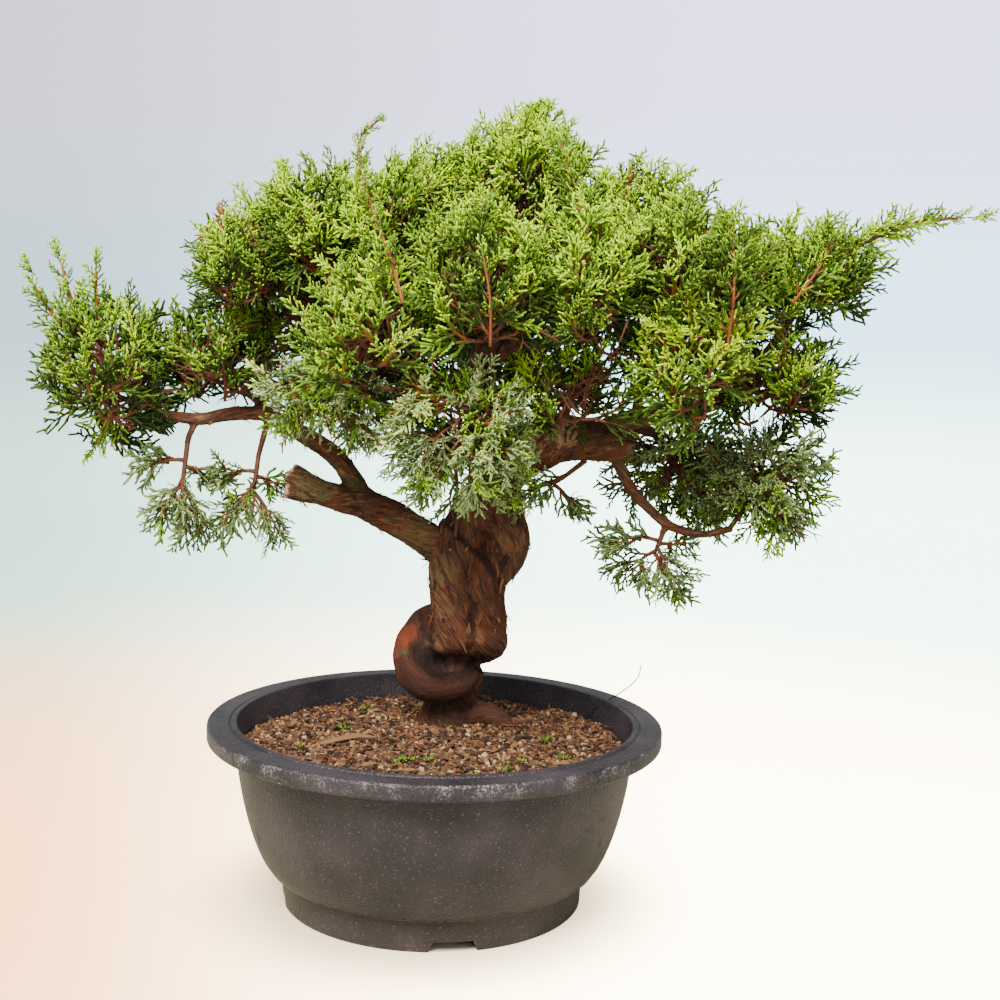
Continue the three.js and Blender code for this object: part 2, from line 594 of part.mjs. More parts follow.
// How far a line from a point may run before it leaves the mass's ellipsoid or its bounds.
function reachAlong(point, direction, mass, boundaries) {
  const centre = vec(mass.centre);
  const half = vec(mass.half);
  const p = point.clone().sub(centre).divide(half);
  const d = direction.clone().divide(half);
  const [dd, pd, pp] = [d.dot(d), p.dot(d), p.dot(p)];
  const root = pd * pd - dd * (pp - 1);
  if (root <= 0) return 0;
  let reach = (-pd + Math.sqrt(root)) / dd;
  for (const { away, limit } of boundaries) {
    const closing = direction.dot(away);
    if (closing < PARALLEL) continue;
    reach = Math.min(reach, (limit - point.clone().sub(centre).dot(away)) / closing - BOUND_MARGIN);
  }
  return reach;
}

// One sprig: a three-sided twig that widens to a flat blade and ends in a point.
function sprig(from, tip, flat) {
  const along = tip.clone().sub(from);
  const length = along.length();
  along.normalize();
  const across = new THREE.Vector3().crossVectors(along, flat).normalize();
  const normal = new THREE.Vector3().crossVectors(along, across);
  const blade = Math.min(BLADE_LENGTH, LONGEST_BLADE_SHARE * length);
  const ring = (run, wide, thick) => [90, 210, 330].map((degrees) => {
    const angle = THREE.MathUtils.degToRad(degrees);
    return from.clone().addScaledVector(along, run)
      .addScaledVector(across, wide * Math.cos(angle))
      .addScaledVector(normal, thick * Math.sin(angle));
  });
  const corners = [
    ...ring(0, TWIG_RADIUS, TWIG_RADIUS),
    ...ring(length - blade, NECK_RADIUS, NECK_RADIUS),
    ...ring(length - WIDEST_SHARE * blade, BLADE_WIDTH_SHARE * blade, BLADE_THICKNESS_SHARE * blade),
    tip,
  ];
  const faces = [0, 2, 1];
  for (const a of [0, 3]) {
    for (let k = 0; k < 3; k += 1) {
      const b = a + ((k + 1) % 3);
      faces.push(a + k, b, b + 3, a + k, b + 3, a + k + 3);
    }
  }
  faces.push(6, 7, 9, 7, 8, 9, 8, 6, 9);
  const geometry = new THREE.BufferGeometry();
  const positions = corners.flatMap((corner) => corner.toArray());
  geometry.setAttribute('position', new THREE.Float32BufferAttribute(positions, 3));
  geometry.setIndex(faces);
  return { body: solid(geometry), corners: corners.slice(6) };
}

// Even directions over a ball, from the pole that the mass leans to, down past its equator.
function spreadDirection(index, count, upright, random) {
  const height = 1 - (SPREAD * (index + 0.5)) / count;
  const turn = index * GOLDEN_TURN + TURN_WANDER * (random() - 0.5);
  const width = Math.sqrt(1 - height * height);
  const direction = new THREE.Vector3(width * Math.cos(turn), width * Math.sin(turn), height);
  return upright ? direction : direction.multiply(new THREE.Vector3(1, 1, -1));
}

// Side of a blade that faces up, as near as its direction allows.
function flatOf(along, twist) {
  const flat = new THREE.Vector3().crossVectors(along, UP).cross(along);
  if (flat.lengthSq() < WELD) flat.set(1, 0, 0);
  return flat.normalize().applyAxisAngle(along, twist);
}

// The rule of branching: main twigs leave the stem for even places on the mass's skin, and
// two more leave each main twig, one to either side. Each item is a start and a direction.
function* branching(mass, stem, random) {
  const centre = vec(mass.centre);
  const half = vec(mass.half);
  const lift = mass.upright ? FORK_LIFT : -FORK_LIFT;
  for (let i = 0; i < mass.twigs; i += 1) {
    const spread = spreadDirection(i, mass.twigs, mass.upright, random);
    const skin = spread.clone().multiply(half).add(centre);
    const from = stem.from.clone().lerp(stem.to, 1 - ((1 - LOWEST_TWIG) * i) / (mass.twigs - 1));
    const along = skin.sub(from).normalize();
    const flat = flatOf(along, TWIST * (random() - 0.5));
    const outward = spread.multiply(half).normalize();
    const forks = [1, -1].map((side) => along.clone()
      .applyAxisAngle(flat, side * SIDE_FORK * (1 + FORK_WANDER * (random() - 0.5)))
      .addScaledVector(outward, FORK_OUTWARD).addScaledVector(UP, lift).normalize());
    yield { from, along, flat, forks };
  }
}

// Sprigs of a long shoot that leaves the mass, in turn to its left and right.
function shootSprigs(stem, end) {
  const tip = vec(end);
  const along = tip.clone().sub(stem.to);
  const length = along.length();
  along.normalize();
  const flat = flatOf(along, 0);
  const sprigs = [{ from: stem.to, tip, flat }];
  for (let run = SHOOT_BARE * length; run < length - SHOOT_SPACING; run += SHOOT_SPACING) {
    const side = sprigs.length % 2 === 0 ? 1 : -1;
    const away = along.clone().applyAxisAngle(flat, side * SIDE_FORK);
    const from = stem.to.clone().addScaledVector(along, run);
    sprigs.push({ from, tip: from.clone().addScaledVector(away, SHOOT_SPRIG), flat });
  }
  return sprigs;
}

// The dense middle of a mass: a ball of tufts, each corner at its own share of the way from
// the centre to the skin or the bounds, cut clear of the limbs and the other masses' stems.
function coreOf(mass, boundaries, others, clear, random) {
  const centre = vec(mass.centre);
  const ball = new THREE.IcosahedronGeometry(1, 1);
  ball.deleteAttribute('normal');
  ball.deleteAttribute('uv');
  const geometry = mergeVertices(ball, WELD);
  const places = geometry.attributes.position;
  for (let i = 0; i < places.count; i += 1) {
    const direction = new THREE.Vector3().fromBufferAttribute(places, i)
      .multiply(vec(mass.half)).normalize();
    const share = mass.core * (1 + CORE_TUFT * (2 * random() - 1));
    const corner = centre.clone()
      .addScaledVector(direction, share * reachAlong(centre, direction, mass, boundaries));
    places.setXYZ(i, corner.x, corner.y, corner.z);
  }
  return others.reduce((core, stem) => core.subtract(stem), solid(geometry).subtract(clear));
}

// The stem of a mass, each radius swollen by `extra`.
function stemOf(mass, extra) {
  const { point, radius } = stemStart(mass);
  const to = point.clone().lerp(vec(mass.centre), STEM_DEPTH);
  const rings = [{ point, radius: radius + extra },
    { point: to, radius: Math.max(STEM_END_SHARE * radius, TWIG_RADIUS) + extra }];
  return { from: point, to, body: loft(rings, 4) };
}

// Builds the solid of one mass, leaving out what would cross its bounds or touch a limb.
// On a dense mass each main twig carries one side sprig, on an open one two.
function growMass(mass, number, stems, wide, clear) {
  const boundaries = boundariesOf(mass);
  const random = seeded(FIRST_SEED + number);
  const stem = stemOf(mass, 0);
  const others = stems.filter((_, other) => other !== number);
  const blocked = (body) => touches(body, clear) || others.some((other) => touches(body, other));
  let body = stem.body.subtract(wide);
  const core = mass.core
    ? coreOf(mass, boundaries, others, clear, seeded(CORE_SEED + number)) : null;
  if (core) body = body.add(core);
  const sideStart = core ? DENSE_SIDE_START : OPEN_SIDE_START;
  const sideCount = core ? 1 : 2;
  const placed = [];
  const place = (from, tip, flat, parent) => {
    const piece = sprig(from, tip, flat);
    if (!piece.corners.every((corner) => inside(corner, boundaries))) return null;
    if (blocked(piece.body)) return null;
    const outer = sprig(from.clone().lerp(tip, CROSSING_SHARE), tip, flat).body;
    if (placed.some((earlier) => earlier !== parent && touches(outer, earlier))) return null;
    placed.push(outer);
    body = body.add(piece.body);
    return outer;
  };
  for (const { from, along, flat, forks } of branching(mass, stem, random)) {
    const reach = reachAlong(from, along, mass, boundaries);
    if (reach < SHORTEST_TWIG) continue;
    const parent = place(from, from.clone().addScaledVector(along, reach), flat, null);
    if (!parent) continue;
    for (const fork of forks.slice(0, sideCount)) {
      const root = from.clone().addScaledVector(along, sideStart * reach);
      const length = Math.min(LONGEST_SIDE, reachAlong(root, fork, mass, boundaries));
      if (length > SHORTEST_SIDE) place(root, root.clone().addScaledVector(fork, length), flat, parent);
    }
  }
  for (const end of mass.shoots ?? []) {
    let parent = null;
    for (const { from, tip, flat } of shootSprigs(stem, end)) {
      const piece = place(from, tip, flat, parent);
      parent ??= piece;
      if (!parent) break;
    }
  }
  return namedMesh(mass.name, largest(body), mass.yellow ? leafYellow : leafGreen);
}

function buildTree() {
  const { limbs, wide, clear } = growLimbs();
  const group = new THREE.Group();
  for (const [name, body] of Object.entries(limbs)) group.add(namedMesh(name, body, bark));
  const stems = MASSES.map((mass) => stemOf(mass, FOLIAGE_GAP).body);
  MASSES.forEach((mass, number) => group.add(growMass(mass, number, stems, wide, clear)));
  return group;
}

const bonsai = new THREE.Group();
bonsai.add(buildPot(), buildSoil(), buildTree());
const middle = new THREE.Box3().setFromObject(bonsai).getCenter(new THREE.Vector3());
bonsai.position.set(-middle.x, -middle.y, 0);

export default bonsai;
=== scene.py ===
"""Itoigawa Chinese juniper bonsai in a round training pot: its looks, built round the frame.

Lengths in the tables and size fields are in millimetres from the pot's axis at the height of
its foot, with +X to the viewer's right, +Y away from the viewer and +Z up. Meshes are built in
metres in the row frame.
"""
import json
import logging
import math
from dataclasses import dataclass
from enum import Enum
from typing import Callable, Iterator, NamedTuple, Sequence

import bmesh
import bpy
import numpy as np
from mathutils import Matrix, Vector, kdtree, noise

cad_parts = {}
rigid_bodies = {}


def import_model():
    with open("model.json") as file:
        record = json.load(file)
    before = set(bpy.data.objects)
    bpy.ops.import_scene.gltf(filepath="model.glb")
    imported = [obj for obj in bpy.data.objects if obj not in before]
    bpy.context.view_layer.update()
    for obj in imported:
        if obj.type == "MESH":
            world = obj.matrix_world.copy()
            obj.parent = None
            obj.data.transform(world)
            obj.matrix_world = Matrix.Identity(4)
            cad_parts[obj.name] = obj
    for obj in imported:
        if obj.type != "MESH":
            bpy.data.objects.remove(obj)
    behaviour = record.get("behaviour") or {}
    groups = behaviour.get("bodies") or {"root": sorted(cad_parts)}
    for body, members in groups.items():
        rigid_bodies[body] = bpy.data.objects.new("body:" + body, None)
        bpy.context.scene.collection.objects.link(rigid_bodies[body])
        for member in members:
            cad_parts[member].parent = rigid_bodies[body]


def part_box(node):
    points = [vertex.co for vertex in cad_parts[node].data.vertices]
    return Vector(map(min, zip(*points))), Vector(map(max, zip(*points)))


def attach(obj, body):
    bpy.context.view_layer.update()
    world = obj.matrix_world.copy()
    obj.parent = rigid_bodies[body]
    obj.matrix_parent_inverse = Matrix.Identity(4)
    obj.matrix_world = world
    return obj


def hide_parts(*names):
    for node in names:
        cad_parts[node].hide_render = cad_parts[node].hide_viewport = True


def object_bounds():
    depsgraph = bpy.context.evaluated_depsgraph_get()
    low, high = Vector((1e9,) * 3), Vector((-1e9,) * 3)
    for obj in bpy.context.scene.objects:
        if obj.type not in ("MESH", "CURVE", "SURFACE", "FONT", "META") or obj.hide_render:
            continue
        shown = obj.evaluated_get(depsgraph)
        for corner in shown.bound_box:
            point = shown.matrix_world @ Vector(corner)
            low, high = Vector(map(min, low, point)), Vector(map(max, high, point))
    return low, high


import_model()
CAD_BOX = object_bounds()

LOG = logging.getLogger("bonsai")
MILLIMETRE = 0.001
POT_LOW, POT_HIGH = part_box("pot")
POT_AXIS = np.array([(POT_LOW.x + POT_HIGH.x) / 2, (POT_LOW.y + POT_HIGH.y) / 2, 0.0])

Colour = tuple[float, float, float]
Station = tuple[float, float, float, float]
Point = tuple[float, float, float]

# How a mass branches, as in the part's source
STEM_DEPTH = 0.88
STEM_START_SHARE = 0.92
LOWEST_TWIG = 0.45
SHORTEST_TWIG = 16.0
SPREAD = 1.6
TURN_WANDER = 0.5
TWIST = 1.2
SIDE_START = 0.15
OPEN_SIDE_START = 0.42
SIDE_FORK = math.radians(50)
FORK_WANDER = 0.4
FORK_OUTWARD = 0.35
FORK_LIFT = 0.2
LONGEST_SIDE = 38.0
ENTRY = 0.86
ENTRY_STEP = 0.02
SHORTEST_BOUGH = 0.5
HALF_SPACING = 0.25
BOUND_MARGIN = 1.5
NEIGHBOUR_MARGIN = 40.0
FIRST_SEED = 101
GOLDEN_TURN = math.pi * (3 - math.sqrt(5))
WORD = 0xFFFFFFFF

# Directions, and how near two corners may be to become one
UP = np.array([0.0, 0.0, 1.0])
SIDE_HINT = (0.3, 0.8, 0.2)
MERGE = 0.01


@dataclass(frozen=True)
class Bough:
    """One tapering limb, as stations of x, y, z and radius, and its fork if it has one."""

    name: str
    path: tuple[Station, ...]
    fork: tuple[Station, ...] = ()


@dataclass(frozen=True)
class Mass:
    """One mass of foliage: the limb it grows from and the ellipsoid it keeps to."""

    name: str
    parent: str
    centre: Point
    half: Point
    twigs: int
    upright: bool
    start: Station | None = None
    shoots: tuple[Point, ...] = ()


class Region(Enum):
    """Parts of the crown whose sprays are joined into one piece each."""

    LEFT = "left"
    UPPER_LEFT = "upper_left"
    FRONT = "front"
    TOP = "top"
    YELLOW = "yellow"
    RIGHT = "right"
    LOW_RIGHT = "low_right"
    BACK = "back"


LEADER: tuple[Station, ...] = (
    (30, 22, 210, 12.5), (29, 24, 233, 12.5), (25, 26, 248, 10.5), (19, 28, 268, 8.5),
    (22, 28, 297, 6.4), (29, 26, 329, 4.6), (38, 24, 370, 2.4))
FOOT: tuple[Station, ...] = (
    (6, 36, 76, 20), (6, 36, 86, 15.5), (8, 36, 97, 13), (13, 32, 107, 12.5), (15, 27, 115, 11))
LEFT_STRAND: tuple[Station, ...] = (
    (13, 24, 127.5, 6), (11.5, 19, 132, 10), (10, 15.8, 138, 12.6), (8, 15, 158, 13),
    (7, 16, 172, 13.5), (10, 18, 187, 14),
    (17, 21, 203, 13.5), (25, 22, 216, 12))
RIGHT_STRAND: tuple[Station, ...] = (
    (24, 19, 141, 14), (23.5, 16, 156, 12.9), (25, 15, 169, 12.6), (30, 16, 180, 13.5),
    (34, 17, 190, 14.5), (32, 20, 203, 13), (30, 22, 216, 12.8))
SURFACE_ROOT: tuple[Station, ...] = (
    (12, 34, 90, 8), (24, 33, 91, 7.2), (34, 30, 89, 6), (42, 26, 83, 4.5))
NOSE: Station = (23, 18.5, 137, 15.3)
EYE: Station = (1, 17, 131, 11)
BOUGHS: tuple[Bough, ...] = (
    Bough("left_bough", ((6, 18, 181, 10.5), (-4, 16, 188.5, 9), (-17, 12, 197.7, 8.8),
        (-32, 8, 206.3, 9), (-46, 5, 213.3, 8.2))),
    Bough("left_stub", ((-34, 7, 207.5, 6.8), (-50, 3, 212.3, 7.4), (-64, -1, 217, 6.8),
        (-79, -4, 227, 5.6)),
        fork=((-56, 1, 214, 5), (-68, -2, 215, 4.6), (-81, -4, 217.5, 4.2))),
    Bough("left_bough_outer", ((-40, 6, 210, 6), (-47, 4, 223, 5.5), (-53, 2, 232, 5.2),
        (-60, 1, 238.5, 4.9), (-69, 0, 244.5, 4.6), (-80, 0, 250.5, 4.4), (-91, 0, 256.5, 4.2))),
    Bough("left_bough_tip", ((-91.4, 0, 256.7, 4.1), (-109, 0, 256, 3.8), (-126, -2, 253, 3.4),
        (-147, -2, 255, 2.6))),
    Bough("left_mid_twig", ((-86, 0, 254, 2.4), (-98, 2, 264, 2), (-106, 4, 270, 1.7))),
    Bough("left_weep_twig", ((-127, -2, 253, 1.9), (-131, -4, 243, 1.7), (-132, -5, 235, 1.5))),
    Bough("left_inner_twig", ((-90, 0, 256, 1.9), (-93, 0, 244, 1.7), (-96, 0, 232, 1.5))),
    Bough("upper_left_bough", (
        (20, 28, 266, 7), (-7, 22, 273, 6), (-31, 15, 283, 5), (-55, 8, 298, 4.2),
        (-75, 2, 314, 3.4), (-92, 0, 324, 2.6))),
    Bough("upper_left_crown_twig", ((-52, 9, 297, 2.8), (-57, 5, 314, 2.4), (-62, 1, 327, 2))),
    Bough("front_left_twig", ((-29, 16, 282, 2.6), (-38, -8, 277, 2.1), (-43, -24, 272, 1.8))),
    Bough("upper_mid_left_twig", ((-15, 20, 277, 3), (-18, 6, 302, 2.5), (-22, -10, 324, 2))),
    Bough("center_left_front_twig", (
        (-22, 18, 279, 2.7), (-25, -22, 288, 2.2), (-27, -50, 294, 1.8))),
    Bough("center_front_twig", ((21, 28, 286, 3.6), (18, -15, 302, 2.8), (17, -56, 313, 2.1))),
    Bough("center_low_front_twig", ((26, 25, 246, 3.8), (16, -15, 254, 2.9), (11, -52, 257, 2.1))),
    Bough("right_limb", (
        (30, 20, 228, 13), (46, 13, 240, 14), (60, 8, 247, 13.5), (74, 4, 247, 11.5),
        (87, 0, 245, 9), (100, -3, 243, 5.5))),
    Bough("right_bough", (
        (78, 3, 247, 6.4), (92, 1, 256, 5.6), (108, 0, 261, 5), (134, -2, 266, 4.2),
        (157, -3, 272, 3))),
    Bough("right_upper_twig", ((120, 0, 263, 3), (133, -4, 284, 2.5), (141, -6, 303, 2))),
    Bough("right_front_twig", ((100, 1, 258, 2.8), (103, -22, 290, 2.3), (107, -38, 316, 1.9))),
    Bough("right_far_twig", ((146, -3, 269, 3), (167, -1, 294, 2.5), (182, 0, 316, 2.1))),
    Bough("right_low_bough", (
        (90, 0, 241, 3.4), (98, -2, 224, 3.1), (107, -3, 214, 2.8), (119, -3, 204, 2.5),
        (137, -2, 199, 2.1), (154, 0, 202, 1.8))),
    Bough("right_weep_twig", ((120, -3, 204, 1.9), (116, -4, 199, 1.7), (114, -5, 193, 1.5))),
    Bough("center_right_low_twig", ((62, 6, 249, 2.6), (63, -16, 262, 2.1), (64, -36, 270, 1.8))),
    Bough("yellow_twig", ((113, 0, 262, 2.6), (116, -26, 274, 2.1), (117, -45, 284, 1.8))),
    Bough("back_left_bough", ((19, 28, 268, 5.2), (-13, 54, 279, 3.9), (-50, 72, 298, 2.6))),
    Bough("back_top_bough", ((23, 28, 300, 4), (16, 52, 314, 3.1), (9, 72, 329, 2.3))),
    Bough("back_right_bough", ((20, 28, 283, 4.6), (46, 56, 302, 3.4), (70, 76, 320, 2.4))),
    Bough("back_low_bough", ((24, 26, 250, 4.2), (32, 58, 262, 3.2), (37, 82, 272, 2.3))),
    Bough("back_right_low_bough", ((72, 6, 249, 4.4), (98, 22, 253, 3.2), (122, 34, 248, 2.3))),
)
MASSES: tuple[Mass, ...] = (
    Mass("left_end", "left_bough_tip", (-170, 0, 278), (34, 44, 36), 7, True,
         shoots=((-218, 0, 334), (-200, 4, 343), (-177, -6, 338), (-184, -4, 230),)),
    Mass("left_mid", "left_mid_twig", (-120, 6, 285), (33, 44, 27), 6, True),
    Mass("left_weep", "left_weep_twig", (-134, -5, 216), (21, 20, 28), 5, False),
    Mass("left_inner", "left_inner_twig", (-98, 0, 213), (26, 20, 23), 5, False),
    Mass("upper_left", "upper_left_bough", (-97, 2, 337), (33, 50, 28), 6, True),
    Mass("upper_left_crown", "upper_left_crown_twig", (-64, 0, 350), (37, 54, 35), 6, True),
    Mass("front_left", "front_left_twig", (-53, -48, 269), (36, 34, 26), 6, False),
    Mass("upper_mid_left", "upper_mid_left_twig", (-25, -16, 350), (34, 46, 38), 6, True),
    Mass("center_left_front", "center_left_front_twig", (-29, -70, 305), (38, 40, 35), 6, True),
    Mass("top", "trunk", (41, 18, 380), (36, 52, 35), 6, True, shoots=((50, 20, 425),)),
    Mass("top_left", "trunk", (5, 34, 370), (35, 50, 32), 6, True,
         start=(30, 27, 335, 2.4)),
    Mass("center_front", "center_front_twig", (17, -78, 324), (36, 42, 40), 6, True),
    Mass("center_low_front", "center_low_front_twig", (8, -78, 251), (36, 30, 32), 6, False),
    Mass("center_right_front", "trunk", (64, -68, 327), (36, 42, 38), 6, True,
         start=(25, 27, 312, 2.8)),
    Mass("center_right_low", "center_right_low_twig", (64, -54, 276), (30, 28, 19), 5, True),
    Mass("yellow", "yellow_twig", (117, -66, 294), (30, 32, 30), 6, True),
    Mass("right_front", "right_front_twig", (112, -56, 338), (36, 40, 30), 5, True),
    Mass("crown_right", "trunk", (98, 6, 355), (37, 52, 34), 6, True,
         start=(27, 27, 320, 2.8), shoots=((101, 4, 396),)),
    Mass("right_upper", "right_upper_twig", (148, -8, 327), (36, 52, 32), 6, True),
    Mass("right_far", "right_far_twig", (189, 0, 338), (33, 46, 27), 6, True,
         shoots=((286, 0, 369), (257, 2, 367),)),
    Mass("right_mid", "right_bough", (174, 0, 284), (32, 46, 27), 6, True),
    Mass("right_low", "right_low_bough", (171, 0, 229), (33, 38, 30), 5, False,
         shoots=((174, 0, 187),)),
    Mass("right_weep", "right_weep_twig", (112, -6, 187), (24, 22, 22), 5, False),
    Mass("inner", "right_limb", (57, 4, 221), (25, 14, 14), 4, False,
         start=(76, 5, 236, 1.6)),
    Mass("back_left", "back_left_bough", (-82, 88, 316), (44, 50, 38), 7, True),
    Mass("back_top", "back_top_bough", (3, 102, 350), (46, 50, 42), 7, True),
    Mass("back_right", "back_right_bough", (93, 98, 340), (48, 50, 40), 7, True),
    Mass("back_low", "back_low_bough", (42, 110, 286), (48, 42, 29), 6, True),
    Mass("back_right_low", "back_right_low_bough", (132, 42, 226), (40, 38, 32), 5, False),
)
REGIONS: dict[Region, tuple[str, ...]] = {
    Region.LEFT: ("left_end", "left_mid", "left_weep", "left_inner"),
    Region.UPPER_LEFT: ("upper_left", "upper_left_crown", "upper_mid_left", "front_left"),
    Region.FRONT: ("center_left_front", "center_front", "center_low_front",
                   "center_right_front", "center_right_low"),
    Region.TOP: ("top", "top_left", "crown_right", "right_front"),
    Region.YELLOW: ("yellow",),
    Region.RIGHT: ("right_upper", "right_far", "right_mid", "back_right"),
    Region.LOW_RIGHT: ("right_low", "right_weep", "inner", "back_right_low"),
    Region.BACK: ("back_left", "back_top", "back_low"),
}


def srgb(red: int, green: int, blue: int) -> Colour:
    """Linear colour of a plain 8-bit display colour."""
    def linear(level: int) -> float:
        """One channel, made linear."""
        share = level / 255
        return share / 12.92 if share <= 0.04045 else ((share + 0.055) / 1.055) ** 2.4
    return linear(red), linear(green), linear(blue)


def to_row(points: np.ndarray | Sequence[float]) -> np.ndarray:
    """Points in millimetres from the pot's axis, as metres in the row frame."""
    return np.asarray(points, float) * MILLIMETRE + POT_AXIS


def unit(vectors: np.ndarray) -> np.ndarray:
    """Vectors brought to length 1, along their last axis."""
    return vectors / np.maximum(np.linalg.norm(vectors, axis=-1, keepdims=True), 1e-9)


def seeded(seed: int) -> Callable[[], float]:
    """Repeatable numbers from 0 to 1, the same ones as in the part's source.

    Args:
        seed: Start of the sequence.

    Returns:
        A function that draws the next number.
    """
    state = seed & WORD

    def draw() -> float:
        """The next number of the sequence."""
        nonlocal state
        state = (state + 0x6D2B79F5) & WORD
        mixed = ((state ^ (state >> 15)) * (state | 1)) & WORD
        mixed ^= (mixed + (((mixed ^ (mixed >> 7)) * (mixed | 61)) & WORD)) & WORD
        return ((mixed ^ (mixed >> 14)) & WORD) / 4294967296

    return draw


def smooth_path(stations: np.ndarray, places: np.ndarray) -> np.ndarray:
    """Points and radii on the smooth curve through a limb's stations.

    Args:
        stations: Rows of x, y, z and radius.
        places: Where to read the curve, counted in spans from the first station.

    Returns:
        Rows of x, y, z and radius, one for each place.
    """
    where = stations[:, :3]
    ends = np.vstack([2 * where[0] - where[1], where, 2 * where[-1] - where[-2]])
    span = np.minimum(places.astype(int), len(stations) - 2)
    share = (places - span)[:, None]
    a, b, c, d = (ends[span + shift] for shift in range(4))

    def knot(one: np.ndarray, other: np.ndarray) -> np.ndarray:
        """Centripetal spacing of two neighbouring stations."""
        return np.maximum(np.linalg.norm(other - one, axis=1, keepdims=True) ** 0.5, 1e-4)

    first, middle, last = knot(a, b), knot(b, c), knot(c, d)
    leave = ((b - a) / first - (c - a) / (first + middle) + (c - b) / middle) * middle
    arrive = ((c - b) / middle - (d - b) / (middle + last) + (d - c) / last) * middle
    points = (b + leave * share + (3 * (c - b) - 2 * leave - arrive) * share ** 2
              + (2 * (b - c) + leave + arrive) * share ** 3)
    radii = stations[span, 3:] * (1 - share) + stations[span + 1, 3:] * share
    return np.hstack([points, radii])


def sampled(stations: Sequence[Station], step: float, end: float = 1.0) -> np.ndarray:
    """A limb's smooth curve, read about every step along it, up to a share of its spans."""
    rows = np.asarray(stations, float)
    length = np.linalg.norm(np.diff(rows[:, :3], axis=0), axis=1).sum() * end
    count = max(3, int(length / step) + 1)
    return smooth_path(rows, np.linspace(0, (len(rows) - 1) * end, count))


def turned(vector: np.ndarray, axis: np.ndarray, angle: float) -> np.ndarray:
    """A vector turned about an axis."""
    return np.array(Matrix.Rotation(angle, 3, Vector(axis)) @ Vector(vector))


def on_ball(height: float, turn: float) -> np.ndarray:
    """A direction with a given height, at an angle about the upright axis."""
    width = math.sqrt(max(0.0, 1 - height * height))
    return np.array([width * math.cos(turn), width * math.sin(turn), height])


def varied(draw: Callable[[], float], share: float) -> float:
    """A factor that strays from 1 by up to a share either way."""
    return 1 - share + 2 * share * draw()


def strayed(draw: Callable[[], float], width: float = 1.0) -> float:
    """A number that strays from 0 by up to half a width either way."""
    return width * (draw() - 0.5)


def jitter(draw: Callable[[], float]) -> np.ndarray:
    """A short vector in no particular direction."""
    return np.array([strayed(draw), strayed(draw), strayed(draw)])


def beside(along: np.ndarray, angle: float) -> np.ndarray:
    """A direction square to another, turned about it by an angle."""
    return turned(unit(np.cross(along, SIDE_HINT)), along, angle)


def point_at(rows: np.ndarray, places: np.ndarray, share: float) -> np.ndarray:
    """The point at a share of a line whose own points lie at the given places."""
    return np.array([np.interp(share, places, rows[:, axis]) for axis in range(3)])


def bowed(start: np.ndarray, knee: np.ndarray, end: np.ndarray, count: int) -> np.ndarray:
    """Points on a curve that leaves its start towards a knee and comes from it to its end."""
    share = np.linspace(0, 1, count)[:, None]
    return start * (1 - share) ** 2 + 2 * knee * share * (1 - share) + end * share ** 2


def rings(path: np.ndarray, radii: Sequence[float], start: Sequence[float],
          count: int) -> list[np.ndarray]:
    """Rings of points round a line, carried along it without a twist.

    Args:
        path: Points on the line.
        radii: Radius of each ring, from the first point on.
        start: A direction that the first ring's points are counted from, not along the line.
        count: Points in each ring.
    """
    along = unit(np.gradient(path, axis=0))
    side = np.cross(along[0], start)
    turns = np.arange(count) * 2 * math.pi / count
    found = []
    for point, heading, radius in zip(path, along, radii):
        side = unit(side - heading * (side @ heading))
        found.append(point + radius * (np.outer(np.cos(turns), side)
                                       + np.outer(np.sin(turns), np.cross(heading, side))))
    return found


def point_tree(points: np.ndarray) -> kdtree.KDTree:
    """A tree that finds the points nearest to a place."""
    tree = kdtree.KDTree(len(points))
    for number, point in enumerate(points):
        tree.insert(Vector(point[:3]), number)
    tree.balance()
    return tree


class Space:
    """The room of one mass: an ellipsoid, cut by planes half way to each neighbour."""

    def __init__(self, mass: Mass) -> None:
        """Works out the planes that part the mass from its neighbours.

        Args:
            mass: The mass that the space belongs to.
        """
        self.centre = np.array(mass.centre, float)
        self.half = np.array(mass.half, float)
        away, limits = [], []
        for other in MASSES:
            gap = np.array(other.centre, float) - self.centre
            distance = float(np.linalg.norm(gap))
            if other is mass:
                continue
            side = gap / distance
            own = float(np.linalg.norm(side * self.half))
            theirs = float(np.linalg.norm(side * np.array(other.half)))
            if distance > own + theirs + NEIGHBOUR_MARGIN:
                continue
            away.append(side)
            limits.append(distance * own / (own + theirs) - HALF_SPACING)
        self.away = np.array(away)
        self.limits = np.array(limits)

    def reach(self, point: np.ndarray, direction: np.ndarray) -> float:
        """How far a line may run from a point before it leaves the space."""
        p = (point - self.centre) / self.half
        d = direction / self.half
        dd, pd, pp = d @ d, p @ d, p @ p
        root = pd * pd - dd * (pp - 1)
        if root <= 0:
            return 0.0
        reach = (-pd + math.sqrt(root)) / dd
        closing = self.away @ direction
        room = self.limits - self.away @ (point - self.centre)
        ahead = closing > 1e-3
        if ahead.any():
            reach = min(reach, float((room[ahead] / closing[ahead]).min()) - BOUND_MARGIN)
        return reach

    def skin(self, directions: np.ndarray) -> tuple[np.ndarray, np.ndarray]:
        """Reach from the centre along many directions.

        Args:
            directions: Rows of unit vectors.

        Returns:
            The reaches, and whether the ellipsoid's own skin is what ends each.
        """
        free = 1 / np.linalg.norm(directions / self.half, axis=1)
        closing = directions @ self.away.T
        planes = np.where(closing > 1e-3, self.limits / np.maximum(closing, 1e-3), 1e6).min(1)
        return np.minimum(free, planes), free <= planes


